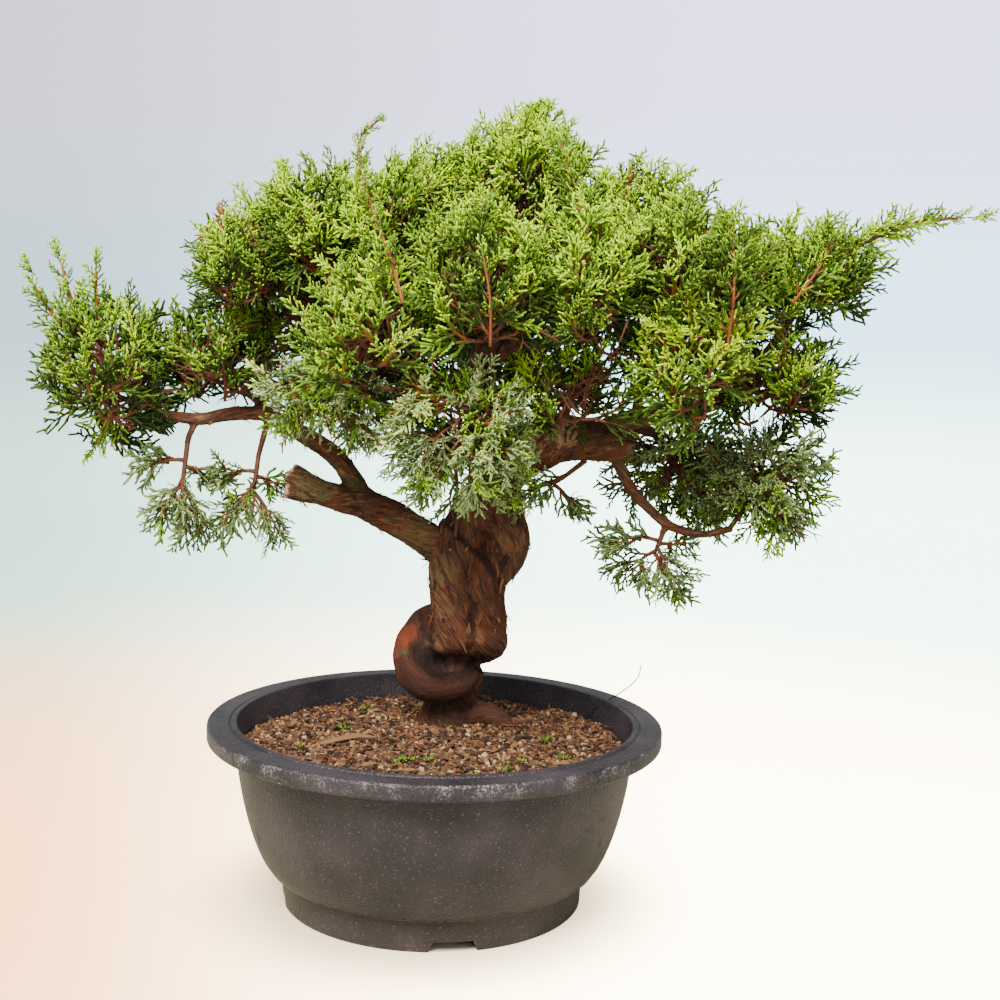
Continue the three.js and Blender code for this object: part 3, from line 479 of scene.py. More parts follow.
def entry_share(path: Sequence[Station], name: str) -> float:
    """Share of a limb's path at which it enters the mass that grows from its tip."""
    found = [mass for mass in MASSES if mass.parent == name and mass.start is None]
    if not found:
        return 1.0
    rows = np.asarray(path, float)
    centre, half = np.array(found[0].centre), np.array(found[0].half)
    share = 1.0
    while share > SHORTEST_BOUGH:
        point = smooth_path(rows, np.array([share * (len(rows) - 1)]))[0, :3]
        if np.linalg.norm((point - centre) / half) >= ENTRY:
            break
        share -= ENTRY_STEP
    return share


def linked(name: str, mesh: bpy.types.Mesh) -> bpy.types.Object:
    """A new object for a mesh, linked to the scene."""
    piece = bpy.data.objects.new(name, mesh)
    bpy.context.scene.collection.objects.link(piece)
    return piece


class Bundle:
    """Closed bodies, gathered as arrays to make one mesh."""

    def __init__(self) -> None:
        """Starts an empty bundle."""
        self.points: list[np.ndarray] = []
        self.faces: list[np.ndarray] = []
        self.kinds: list[np.ndarray] = []
        self.count = 0

    def keep(self, points: np.ndarray, faces: np.ndarray, kinds: np.ndarray) -> None:
        """Adds one body.

        Args:
            points: Its corners.
            faces: Rows of three corners, counted from its own first one.
            kinds: What each face is.
        """
        self.points.append(points)
        self.faces.append(faces + self.count)
        self.kinds.append(kinds)
        self.count += len(points)

    def arrays(self) -> tuple[np.ndarray, np.ndarray, np.ndarray]:
        """All points, faces and kinds of the bundle."""
        return np.vstack(self.points), np.vstack(self.faces), np.concatenate(self.kinds)

    def piece(self, name: str, materials: Sequence[bpy.types.Material],
              smooth: bool = True) -> bpy.types.Object:
        """One object from the bundle.

        Args:
            name: Name of the piece.
            materials: Material of each kind of face.
            smooth: Whether the faces are shaded smooth.

        Returns:
            The linked object, at the origin.
        """
        points, faces, kinds = self.arrays()
        mesh = bpy.data.meshes.new(name)
        mesh.vertices.add(len(points))
        mesh.vertices.foreach_set("co", to_row(points).astype(np.float32).ravel())
        mesh.loops.add(3 * len(faces))
        mesh.loops.foreach_set("vertex_index", faces.astype(np.int32).ravel())
        mesh.polygons.add(len(faces))
        mesh.polygons.foreach_set("loop_start", np.arange(0, 3 * len(faces), 3, dtype=np.int32))
        mesh.polygons.foreach_set("material_index", kinds.astype(np.int32))
        mesh.polygons.foreach_set("use_smooth", np.full(len(faces), smooth))
        for material in materials:
            mesh.materials.append(material)
        mesh.update(calc_edges=True)
        return linked(name, mesh)


class Cords(Bundle):
    """Tapering cords with three or more sides."""

    def __init__(self, sides: int) -> None:
        """Starts an empty bundle.

        Args:
            sides: Sides of each cord.
        """
        super().__init__()
        self.sides = sides

    def add(self, path: np.ndarray, radii: Sequence[float], kinds: Sequence[int]) -> None:
        """Adds one cord that ends in a point.

        Args:
            path: Points along the cord; the last one is its tip.
            radii: Radius at each point but the tip.
            kinds: What each stretch between two points is; the last one stands for the rest.
        """
        upright = abs(unit(path[1] - path[0])[2]) >= 0.9
        around = rings(path, radii, (1.0, 0.0, 0.0) if upright else UP, self.sides)
        points = np.vstack([*around, path[-1:]])
        k = np.arange(self.sides)
        following = (k + 1) % self.sides
        fan = k[1:-1]
        faces = [np.column_stack([fan * 0, following[1:-1], fan])]
        marks = [np.full(len(fan), kinds[0])]
        for ring in range(len(radii) - 1):
            low = ring * self.sides
            high = low + self.sides
            faces.append(np.column_stack([low + k, low + following, high + following]))
            faces.append(np.column_stack([low + k, high + following, high + k]))
            marks.append(np.full(2 * self.sides, kinds[min(ring, len(kinds) - 1)]))
        top = (len(radii) - 1) * self.sides
        end = np.full(self.sides, len(points) - 1)
        faces.append(np.column_stack([top + k, top + following, end]))
        marks.append(np.full(self.sides, kinds[-1]))
        self.keep(points, np.vstack(faces), np.concatenate(marks))


def lathe(bm: bmesh.types.BMesh, profile: Sequence[tuple[float, float]], steps: int,
          merge: float = MERGE) -> None:
    """Turns a profile about the upright axis, and faces the skin outward.

    Args:
        bm: Where to add the skin.
        profile: Radius and height of each corner.
        steps: Faces round the skin.
        merge: Distance below which corners become one.
    """
    line = [bm.verts.new((radius, 0, z)) for radius, z in profile]
    edges = [bm.edges.new(pair) for pair in zip(line, line[1:])]
    bmesh.ops.spin(bm, geom=[*line, *edges], cent=(0, 0, 0), axis=UP, angle=2 * math.pi,
                   steps=steps, use_merge=True)
    bmesh.ops.remove_doubles(bm, verts=bm.verts, dist=merge)
    bmesh.ops.recalc_face_normals(bm, faces=bm.faces)


def arc(centre: tuple[float, float], radii: tuple[float, float],
        degrees: Sequence[float]) -> list[tuple[float, float]]:
    """Corners of a profile on an arc, at angles counted up from straight outward."""
    return [(centre[0] + radii[0] * math.cos(math.radians(turn)),
             centre[1] + radii[1] * math.sin(math.radians(turn))) for turn in degrees]


def from_bmesh(name: str, bm: bmesh.types.BMesh, material: bpy.types.Material,
               scale: float = MILLIMETRE, origin: np.ndarray = POT_AXIS) -> bpy.types.Object:
    """One smooth object from a bmesh, by default in millimetres from the pot's axis.

    Args:
        name: Name of the piece.
        bm: The shape, which is freed.
        material: Its finish.
        scale: Metres in one unit of the shape.
        origin: Where the shape's origin lies, in metres.

    Returns:
        The linked object, at the origin.
    """
    bmesh.ops.scale(bm, vec=(scale,) * 3, verts=bm.verts)
    bmesh.ops.translate(bm, vec=Vector(origin), verts=bm.verts)
    for face in bm.faces:
        face.smooth = True
    mesh = bpy.data.meshes.new(name)
    bm.to_mesh(mesh)
    bm.free()
    mesh.materials.append(material)
    return linked(name, mesh)


def baked(piece: bpy.types.Object) -> bpy.types.Mesh:
    """Puts what a piece's modifiers make in place of its mesh, and returns it."""
    depsgraph = bpy.context.evaluated_depsgraph_get()
    shape = bpy.data.meshes.new_from_object(piece.evaluated_get(depsgraph))
    piece.modifiers.clear()
    old, piece.data = piece.data, shape
    bpy.data.meshes.remove(old)
    shape.name = piece.name
    return shape


def settle(piece: bpy.types.Object, nodes: Sequence[str] = ()) -> None:
    """Puts a finished piece on the plant's body and says what it stands for.

    Args:
        piece: The finished piece.
        nodes: Nodes of the frame that it replaces.
    """
    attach(piece, "root")
    if nodes:
        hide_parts(*nodes)
    triangles = sum(len(face.vertices) - 2 for face in piece.data.polygons)
    LOG.info("%s: %d triangles, stands for %d nodes", piece.name, triangles, len(nodes))


# Finishes


class Nodes:
    """The node tree of one material or group, with short calls for what the finishes use."""

    def __init__(self, tree: bpy.types.NodeTree) -> None:
        """Keeps the tree.

        Args:
            tree: The node tree to build in.
        """
        self.tree = tree

    def add(self, kind: str, **values: object) -> bpy.types.Node:
        """Adds a node and sets its properties or the inputs of those names.

        Args:
            kind: The node's type name, without ShaderNode in front.
            **values: Properties, or inputs with their blanks written as underlines.

        Returns:
            The new node.
        """
        node = self.tree.nodes.new("ShaderNode" + kind)
        for key, value in values.items():
            if hasattr(node, key) and key not in ("inputs", "outputs"):
                setattr(node, key, value)
            else:
                self.feed(node.inputs[key.replace("_", " ")], value)
        return node

    def feed(self, socket: bpy.types.NodeSocket, value: object) -> None:
        """Links an output to a socket, or sets the socket to a plain value."""
        if isinstance(value, bpy.types.NodeSocket):
            self.tree.links.new(value, socket)
        elif isinstance(value, tuple) and len(value) == 3 and socket.type == "RGBA":
            socket.default_value = (*value, 1.0)
        else:
            socket.default_value = value

    def mix(self, factor: object, low: object, high: object) -> bpy.types.NodeSocket:
        """Colour between two others, by a factor."""
        node = self.tree.nodes.new("ShaderNodeMix")
        node.data_type = "RGBA"
        for place, value in ((0, factor), (6, low), (7, high)):
            self.feed(node.inputs[place], value)
        return node.outputs[2]

    def maths(self, kind: str, one: object, other: object = 0.0) -> bpy.types.NodeSocket:
        """Result of a sum of two values."""
        node = self.tree.nodes.new("ShaderNodeMath")
        node.operation = kind
        self.feed(node.inputs[0], one)
        self.feed(node.inputs[1], other)
        return node.outputs[0]

    def plus(self, one: object, other: object) -> bpy.types.NodeSocket:
        """Two values added."""
        return self.maths("ADD", one, other)

    def times(self, first: object, *others: object) -> bpy.types.NodeSocket:
        """Values multiplied with each other."""
        for other in others:
            first = self.maths("MULTIPLY", first, other)
        return first

    def hypotenuse(self, one: object, other: object) -> bpy.types.NodeSocket:
        """Length of the long side over two square ones."""
        return self.maths("SQRT", self.plus(self.times(one, one), self.times(other, other)))

    def tint(self, base: object, colour: Colour, *shares: object) -> bpy.types.NodeSocket:
        """A colour brought towards another by the product of some shares."""
        return self.mix(self.times(*shares), base, colour)

    def spread(self, value: object, low: float, high: float, start: float = 0.0,
               end: float = 1.0) -> bpy.types.NodeSocket:
        """A value's range from low to high, brought to start and end."""
        node = self.add("MapRange", interpolation_type="SMOOTHSTEP", Value=value,
                        From_Min=low, From_Max=high, To_Min=start, To_Max=end)
        return node.outputs[0]


SocketList = Sequence[tuple[str, str, object]]


def new_group(name: str, inputs: SocketList, output: tuple[str, str],
              ) -> tuple[Nodes, bpy.types.bpy_prop_collection, bpy.types.NodeSocket]:
    """Starts a shader node group with named sockets.

    Args:
        name: Name of the group.
        inputs: Name, type and start value of each input.
        output: Name and type of the output.

    Returns:
        The group's nodes, the sockets of what it is given and the socket of its result.
    """
    tree = bpy.data.node_groups.new(name, "ShaderNodeTree")
    for label, kind, value in inputs:
        socket = tree.interface.new_socket(name=label, in_out="INPUT",
                                           socket_type="NodeSocket" + kind)
        if value is not None:
            socket.default_value = value
    tree.interface.new_socket(name=output[0], in_out="OUTPUT",
                              socket_type="NodeSocket" + output[1])
    given, result = tree.nodes.new("NodeGroupInput"), tree.nodes.new("NodeGroupOutput")
    return Nodes(tree), given.outputs, result.inputs[0]


class Effects:
    """Node groups that several finishes share."""

    def __init__(self) -> None:
        """Builds the groups once."""
        self.speckle = self._speckle()
        self.relief = self._relief()
        self.zone = self._zone()

    @staticmethod
    def _speckle() -> bpy.types.NodeTree:
        """Mask of soft patches: noise between two levels."""
        nodes, given, result = new_group(
            "speckle", (("Vector", "Vector", None), ("Scale", "Float", 100.0),
                        ("Detail", "Float", 3.0), ("Low", "Float", 0.4), ("High", "Float", 0.6)),
            ("Mask", "Float"))
        pattern = nodes.add("TexNoise", Vector=given["Vector"], Scale=given["Scale"],
                            Detail=given["Detail"])
        nodes.feed(result, nodes.spread(pattern.outputs[0], given["Low"], given["High"]))
        return nodes.tree

    @staticmethod
    def _relief() -> bpy.types.NodeTree:
        """Normal of a fine uneven surface: cells under noise."""
        nodes, given, result = new_group(
            "relief", (("Vector", "Vector", None), ("Scale", "Float", 500.0),
                       ("Cells", "Float", 0.5), ("Strength", "Float", 0.3),
                       ("Distance", "Float", 0.0005)),
            ("Normal", "Vector"))
        pattern = nodes.add("TexNoise", Vector=given["Vector"], Scale=given["Scale"], Detail=4.0)
        cells = nodes.add("TexVoronoi", Vector=given["Vector"], Scale=given["Scale"])
        height = nodes.plus(pattern.outputs[0],
                            nodes.times(cells.outputs["Distance"], given["Cells"]))
        bump = nodes.add("Bump", Strength=given["Strength"], Distance=given["Distance"],
                         Height=height)
        nodes.feed(result, bump.outputs[0])
        return nodes.tree

    @staticmethod
    def _zone() -> bpy.types.NodeTree:
        """Mask that is 1 within a radius of a point, with an uneven edge."""
        nodes, given, result = new_group(
            "zone", (("Vector", "Vector", None), ("Centre", "Vector", (0.0, 0.0, 0.0)),
                     ("Radius", "Float", 0.01), ("Uneven", "Float", 0.003)),
            ("Mask", "Float"))
        distance = nodes.add("VectorMath", operation="DISTANCE")
        nodes.feed(distance.inputs[0], given["Vector"])
        nodes.feed(distance.inputs[1], given["Centre"])
        pattern = nodes.add("TexNoise", Vector=given["Vector"], Scale=350.0, Detail=3.0)
        shift = nodes.times(nodes.maths("SUBTRACT", pattern.outputs[0], 0.5),
                            nodes.times(given["Uneven"], 4.0))
        rough = nodes.plus(distance.outputs["Value"], shift)
        nodes.feed(result, nodes.spread(rough, given["Radius"], nodes.times(given["Radius"], 0.75)))
        return nodes.tree


class Finish:
    """A material under construction: its nodes, its shader and the shared groups."""

    def __init__(self, name: str, effects: Effects) -> None:
        """Starts a material with one Principled shader.

        Args:
            name: Name of the material.
            effects: The shared node groups.
        """
        self.material = bpy.data.materials.new(name)
        self.material.use_nodes = True
        self.nodes = Nodes(self.material.node_tree)
        self.shader = self.material.node_tree.nodes["Principled BSDF"]
        self.effects = effects
        self.place = self.nodes.add("TexCoord").outputs["Object"]

    def set(self, **values: object) -> None:
        """Feeds the shader's inputs, with blanks written as underlines."""
        for key, value in values.items():
            self.nodes.feed(self.shader.inputs[key.replace("_", " ")], value)

    def group(self, tree: bpy.types.NodeTree, **values: object) -> bpy.types.NodeSocket:
        """Places a shared group with its own values, and returns its result."""
        node = self.nodes.tree.nodes.new("ShaderNodeGroup")
        node.node_tree = tree
        for key, value in {"Vector": self.place, **values}.items():
            self.nodes.feed(node.inputs[key], value)
        return node.outputs[0]

    def speckle(self, scale: float, low: float, high: float,
                **values: object) -> bpy.types.NodeSocket:
        """Mask of soft patches: noise of a scale, between two levels."""
        return self.group(self.effects.speckle, Scale=scale, Low=low, High=high, **values)

    def zone(self, centre: Point, radius: float, uneven: float) -> bpy.types.NodeSocket:
        """Mask of one spot, in millimetres from the pot's axis."""
        return self.group(self.effects.zone, Centre=tuple(to_row(centre)),
                          Radius=radius * MILLIMETRE, Uneven=uneven * MILLIMETRE)

    def roughen(self, **values: object) -> None:
        """Gives the shader a fine uneven surface."""
        self.set(Normal=self.group(self.effects.relief, **values))


@dataclass(frozen=True)
class PlainFinish:
    """A plain base colour with a fine relief, for leaves, grains and small scraps."""

    name: str
    colour: Colour
    roughness: float = 0.6
    grain: float = 1400.0
    strength: float = 0.25
    gloss: float = 0.35

    def build(self, effects: Effects) -> bpy.types.Material:
        """Makes the material."""
        finish = Finish(self.name, effects)
        finish.set(Base_Color=self.colour, Roughness=self.roughness,
                   Specular_IOR_Level=self.gloss)
        finish.roughen(Scale=self.grain, Strength=self.strength, Distance=0.0004)
        return finish.material


@dataclass(frozen=True)
class BarkFinish:
    """Shreddy bark: fibres along the limb, painted shade in its furrows, cracks and creases, and
    patches with a place.
    """

    name: str = "juniper_bark"
    # Dark colour of the fibre streaks, and painted shade in furrows, cracks and creases
    crease: Colour = srgb(24, 12, 8)
    brown: Colour = srgb(80, 47, 28)
    red: Colour = srgb(94, 46, 24)
    tan: Colour = srgb(138, 100, 64)
    smooth: Colour = srgb(46, 20, 8)
    green: Colour = srgb(100, 92, 52)
    moss: Colour = srgb(52, 62, 22)
    fresh: Colour = srgb(126, 54, 20)
    wood: Colour = srgb(196, 160, 116)
    slit: Colour = srgb(190, 138, 84)
    # Painted shadow for the hollow under the nose and inside the coil
    painted_cave_shadow: Colour = srgb(26, 14, 9)

    def patches(self) -> Iterator[tuple[Colour, Point, float, float, float]]:
        """Colour, centre, radius, unevenness and strength of each patch, in millimetres."""
        yield self.fresh, (-21, 14, 132), 8, 2, 0.45
        yield self.fresh, (-17, 11, 141), 8, 2, 0.5
        yield self.fresh, (-10, 9, 146), 7.5, 2, 0.6
        yield self.fresh, (-20, 14, 118), 8, 3, 0.25
        yield self.tan, (20, 3, 141), 5, 3, 0.4
        yield self.tan, (38, 5, 192), 9, 4, 0.3
        yield self.tan, (2, 2, 158), 9, 4, 0.3
        yield self.tan, (-3, 2, 170), 8, 4, 0.22
        yield self.slit, (1.4, 3, 193.5), 2.4, 0.5, 0.9
        yield self.slit, (2.8, 3, 190.5), 2.5, 0.5, 0.9
        yield self.slit, (4.2, 3, 187.5), 2.2, 0.5, 0.9
        yield self.green, (-14, 12, 194), 15, 5, 0.45
        yield self.green, (0, 4, 176), 11, 5, 0.35
        yield self.moss, (-18, 11, 129), 3.6, 2, 0.7
        # Painted shadow in the hollow under the nose and inside the coil, and low on the trunk's
        # foot above the soil
        yield self.painted_cave_shadow, (14, 9, 121), 8, 2, 0.7
        yield self.painted_cave_shadow, (4, 9, 123), 9, 2, 0.75
        yield self.painted_cave_shadow, (-5, 10, 127), 7.5, 2, 0.55
        yield self.painted_cave_shadow, (8, 24, 97), 14, 4, 0.45
        yield self.wood, (-80.5, -5, 229), 6.2, 1, 0.9
        yield self.wood, (-82.5, -5, 217.8), 5.5, 1, 0.9
        yield self.green, (-66, 0, 221), 14, 6, 0.55
        yield self.moss, (-46, 2, 220), 7, 4, 0.6
        yield self.moss, (-27, 3, 203), 4, 2, 0.5
        yield self.wood, (62, -6, 252), 9, 5, 0.35
        yield self.wood, (44, -2, 247), 7, 4, 0.3
        yield self.green, (101, -4, 243), 8, 2, 0.7

    def build(self, effects: Effects) -> bpy.types.Material:
        """Makes the material."""
        finish = Finish(self.name, effects)
        nodes = finish.nodes
        grain = nodes.add("Attribute", attribute_name="bark_grain").outputs["Vector"]
        relief = nodes.add("Attribute", attribute_name="bark_relief").outputs["Fac"]
        rough = nodes.add("Attribute", attribute_name="bark_fibre").outputs["Fac"]
        fibres = nodes.times(finish.speckle(1500.0, 0.38, 0.62, Vector=grain), rough)
        streaks = finish.speckle(620.0, 0.5, 0.68, Vector=grain)
        broad = finish.speckle(90.0, 0.45, 0.65)
        base = nodes.mix(finish.speckle(55.0, 0.4, 0.62), self.brown, self.red)
        base = nodes.tint(nodes.mix(rough, self.smooth, base), self.tan, streaks, rough,
                          nodes.plus(nodes.times(broad, 0.6), 0.1))
        for colour, centre, radius, uneven, strength in self.patches():
            base = nodes.tint(base, colour, finish.zone(centre, radius, uneven), strength)
        # Dark fibre streaks, then painted shade where the stored relief is low: in furrows, cracks
        # and creases
        shade = nodes.tint(base, self.crease, fibres, 0.36)
        shade = nodes.tint(shade, self.crease, nodes.spread(relief, 0.42, 0.05), 0.62)
        finish.set(Base_Color=shade, Roughness=nodes.spread(streaks, 0.0, 1.0, 0.84, 0.66),
                   Specular_IOR_Level=0.3)
        finish.roughen(Vector=grain, Scale=1500.0, Strength=0.75, Distance=0.001)
        return finish.material


@dataclass(frozen=True)
class PotFinish:
    """Charcoal plastic with an uneven moulded skin, pale scuffs and painted highlight streaks on
    the lip, and dust.
    """

    name: str = "pot_plastic"
    dark: Colour = srgb(34, 29, 32)
    light: Colour = srgb(54, 46, 50)
    # Pale colour of scuffs and flecks, and of the painted highlight streaks on the lip
    scuff_and_sheen: Colour = srgb(136, 132, 130)
    dust: Colour = srgb(104, 88, 74)
    speck: Colour = srgb(150, 98, 56)
    lip_radius: float = 118.6
    rim_radius: float = 120
    lip_height: float = 87.5
    rim_height: float = 96.5
    foot_height: float = 20.0

    def specks(self) -> Iterator[tuple[Point, float]]:
        """Centre and radius of each fleck of dried soil, in millimetres."""
        yield (-73, -95, 88), 1.5
        yield (-41, -78, 28), 1.7
        yield (-37.5, -80, 26), 1.0
        yield (45, -110, 84), 1.2
        yield (21, -83, 22.5), 1.4
        yield (33, -80, 23), 1.1
        yield (60, -75, 60), 1.0
        yield (-84, -52, 55), 1.2
        yield (70, 62, 35), 1.5

    def build(self, effects: Effects) -> bpy.types.Material:
        """Makes the material."""
        finish = Finish(self.name, effects)
        nodes = finish.nodes
        centred = nodes.add("Mapping")
        nodes.feed(centred.inputs["Vector"], finish.place)
        centred.inputs["Location"].default_value = tuple(-POT_AXIS)
        parts = nodes.add("SeparateXYZ", Vector=centred.outputs[0]).outputs
        outer = nodes.spread(nodes.hypotenuse(parts[0], parts[1]), self.lip_radius * MILLIMETRE,
                             self.rim_radius * MILLIMETRE)
        high = nodes.spread(parts[2], self.lip_height * MILLIMETRE, self.rim_height * MILLIMETRE)
        patches = finish.speckle(110.0, 0.42, 0.64)
        fine = finish.speckle(900.0, 0.42, 0.62)
        base = nodes.mix(finish.speckle(28.0, 0.35, 0.7), self.dark, self.light)
        # Real scuffs and painted highlight streaks along the lip's upper outer edge
        lip_scuffs_and_sheen = nodes.times(nodes.times(outer, high), nodes.times(patches, fine))
        base = nodes.tint(base, self.scuff_and_sheen, lip_scuffs_and_sheen, 0.72)
        base = nodes.tint(base, self.scuff_and_sheen, finish.speckle(900.0, 0.62, 0.7), 0.3)
        dust = finish.speckle(95.0, 0.58, 0.8)
        base = nodes.tint(base, self.dust, dust, 0.14)
        low = nodes.spread(parts[2], self.foot_height * MILLIMETRE, 0.004)
        base = nodes.tint(base, self.dust, low, 0.08)
        for centre, size in self.specks():
            base = nodes.tint(base, self.speck, finish.zone(centre, size, 0.6))
        finish.set(Base_Color=base, Specular_IOR_Level=0.3,
                   Roughness=nodes.spread(nodes.plus(lip_scuffs_and_sheen, dust), 0.0, 1.0, 0.4, 0.7))
        finish.roughen(Scale=850.0, Cells=0.8, Strength=0.7, Distance=0.0006)
        return finish.material


@dataclass(frozen=True)
class SoilFinish:
    """Damp fine soil between the granules."""

    name: str = "soil_bed"
    dark: Colour = srgb(52, 34, 24)
    light: Colour = srgb(112, 84, 58)

    def build(self, effects: Effects) -> bpy.types.Material:
        """Makes the material."""
        finish = Finish(self.name, effects)
        patches = finish.speckle(420.0, 0.35, 0.65)
        finish.set(Base_Color=finish.nodes.mix(patches, self.dark, self.light), Roughness=0.95)
        finish.roughen(Scale=500.0, Strength=0.9, Distance=0.001)
        return finish.material


@dataclass(frozen=True)
class BackdropFinish:
    """Pale seamless paper: cream by the pot, then a cool white, and grey-blue high up, with a
    painted glow that only the camera sees and painted shade round the pot's foot.
    """

    name: str = "backdrop_paper"
    near: Colour = srgb(200, 190, 160)
    far: Colour = srgb(172, 180, 182)
    high: Colour = srgb(160, 164, 172)
    left_glow: tuple[Colour, ...] = ((3.9, 1.4, 0.3), (0.9, 1.7, 1.3), (0.35, 0.7, 0.85),
                                     (0.9, 0.85, 1.0))
    right_glow: tuple[Colour, ...] = ((15.0, 12.0, 7.8), (4.6, 7.4, 6.0), (1.5, 2.9, 3.6),
                                      (1.9, 1.9, 2.8))
    spot: float = 0.8
    foot: float = 0.078
    ring: float = 0.0795
    foot_shade: float = 0.85

    def build(self, effects: Effects) -> bpy.types.Material:
        """Makes the material."""
        finish = Finish(self.name, effects)
        nodes = finish.nodes
        parts = nodes.add("SeparateXYZ", Vector=finish.place).outputs
        across = nodes.maths("SUBTRACT", parts[0], float(POT_AXIS[0]))
        back = nodes.maths("SUBTRACT", parts[1], float(POT_AXIS[1]))
        radius = nodes.hypotenuse(across, back)
        out = nodes.spread(radius, 0.2, 1.05)
        low = nodes.spread(parts[2], 0.02, 0.3)
        high = nodes.spread(parts[2], 0.3, 0.75)
        reach = nodes.maths("MAXIMUM", nodes.plus(back, self.spot), 0.6)
        side = nodes.spread(nodes.maths("DIVIDE", across, reach), -0.3, 0.2)
        # Painted light: the paper glows to the camera alone, brighter on the right and near the pot
        glows = []
        for near, far, middle, top in (self.left_glow, self.right_glow):
            glow = nodes.mix(low, nodes.mix(out, near, far), middle)
            glows.append(nodes.mix(high, glow, top))
        glow = nodes.mix(side, glows[0], glows[1])
        paper = nodes.mix(high, nodes.mix(out, self.near, self.far), self.high)
        paper = nodes.tint(paper, self.near, finish.speckle(3.0, 0.3, 0.7), 0.04)
        seen = nodes.add("LightPath").outputs["Is Camera Ray"]
        # Painted shade: the glow fades round the pot's foot and is gone inside the foot ring
        lit = nodes.times(nodes.spread(radius, self.ring - 0.004, self.ring),
                          nodes.spread(radius, self.foot, self.foot * 1.9,
                                       1 - self.foot_shade, 1.0))
        finish.set(Base_Color=paper, Emission_Color=glow, Roughness=0.95,
                   Emission_Strength=nodes.times(seen, lit), Specular_IOR_Level=0.1)
        return finish.material


# Leaves


class Tone(Enum):
    """Plain colours of leaves and twigs."""

    FRESH = srgb(208, 238, 40)
    LIME = srgb(162, 196, 28)
    GRASS = srgb(110, 142, 36)
    LEAF = srgb(76, 98, 32)
    DEEP = srgb(56, 74, 28)
    SHADE = srgb(44, 54, 24)
    COOL = srgb(128, 146, 88)
    COOL_DEEP = srgb(98, 114, 66)
    PALE = srgb(188, 206, 118)
    MIST = srgb(170, 184, 126)
    GOLD = srgb(180, 208, 28)
    GOLD_DEEP = srgb(128, 150, 34)
    OLIVE = srgb(132, 122, 54)
    RUST = srgb(186, 104, 48)
    STEM = srgb(122, 70, 42)


TONES = tuple(Tone)


class Palette(NamedTuple):
    """Tones of one spray: its stem, the foot of each branchlet, its body and its tip."""

    stem: Tone
    inner: Tone
    outer: Tone
    tip: Tone

    def slots(self) -> np.ndarray:
        """Material slots of the four tones."""
        return np.array([TONES.index(tone) for tone in self])


BRIGHT = Palette(Tone.LEAF, Tone.GRASS, Tone.LIME, Tone.FRESH)
LIGHT = Palette(Tone.OLIVE, Tone.LEAF, Tone.GRASS, Tone.LIME)
MIDDLE = Palette(Tone.STEM, Tone.DEEP, Tone.LEAF, Tone.GRASS)
DARK = Palette(Tone.STEM, Tone.SHADE, Tone.DEEP, Tone.LEAF)
SHADED = Palette(Tone.STEM, Tone.SHADE, Tone.SHADE, Tone.DEEP)
PALER = Palette(Tone.OLIVE, Tone.COOL, Tone.PALE, Tone.PALE)
COOLER = Palette(Tone.STEM, Tone.COOL_DEEP, Tone.COOL, Tone.MIST)
HANGING = Palette(Tone.STEM, Tone.COOL_DEEP, Tone.COOL_DEEP, Tone.COOL)
YELLOW = Palette(Tone.OLIVE, Tone.GOLD_DEEP, Tone.GOLD, Tone.GOLD)
YELLOW_DARK = Palette(Tone.STEM, Tone.LEAF, Tone.GOLD_DEEP, Tone.GOLD)
DEAD = Palette(Tone.STEM, Tone.RUST, Tone.OLIVE, Tone.RUST)


SPRAY_BEND = 0.28


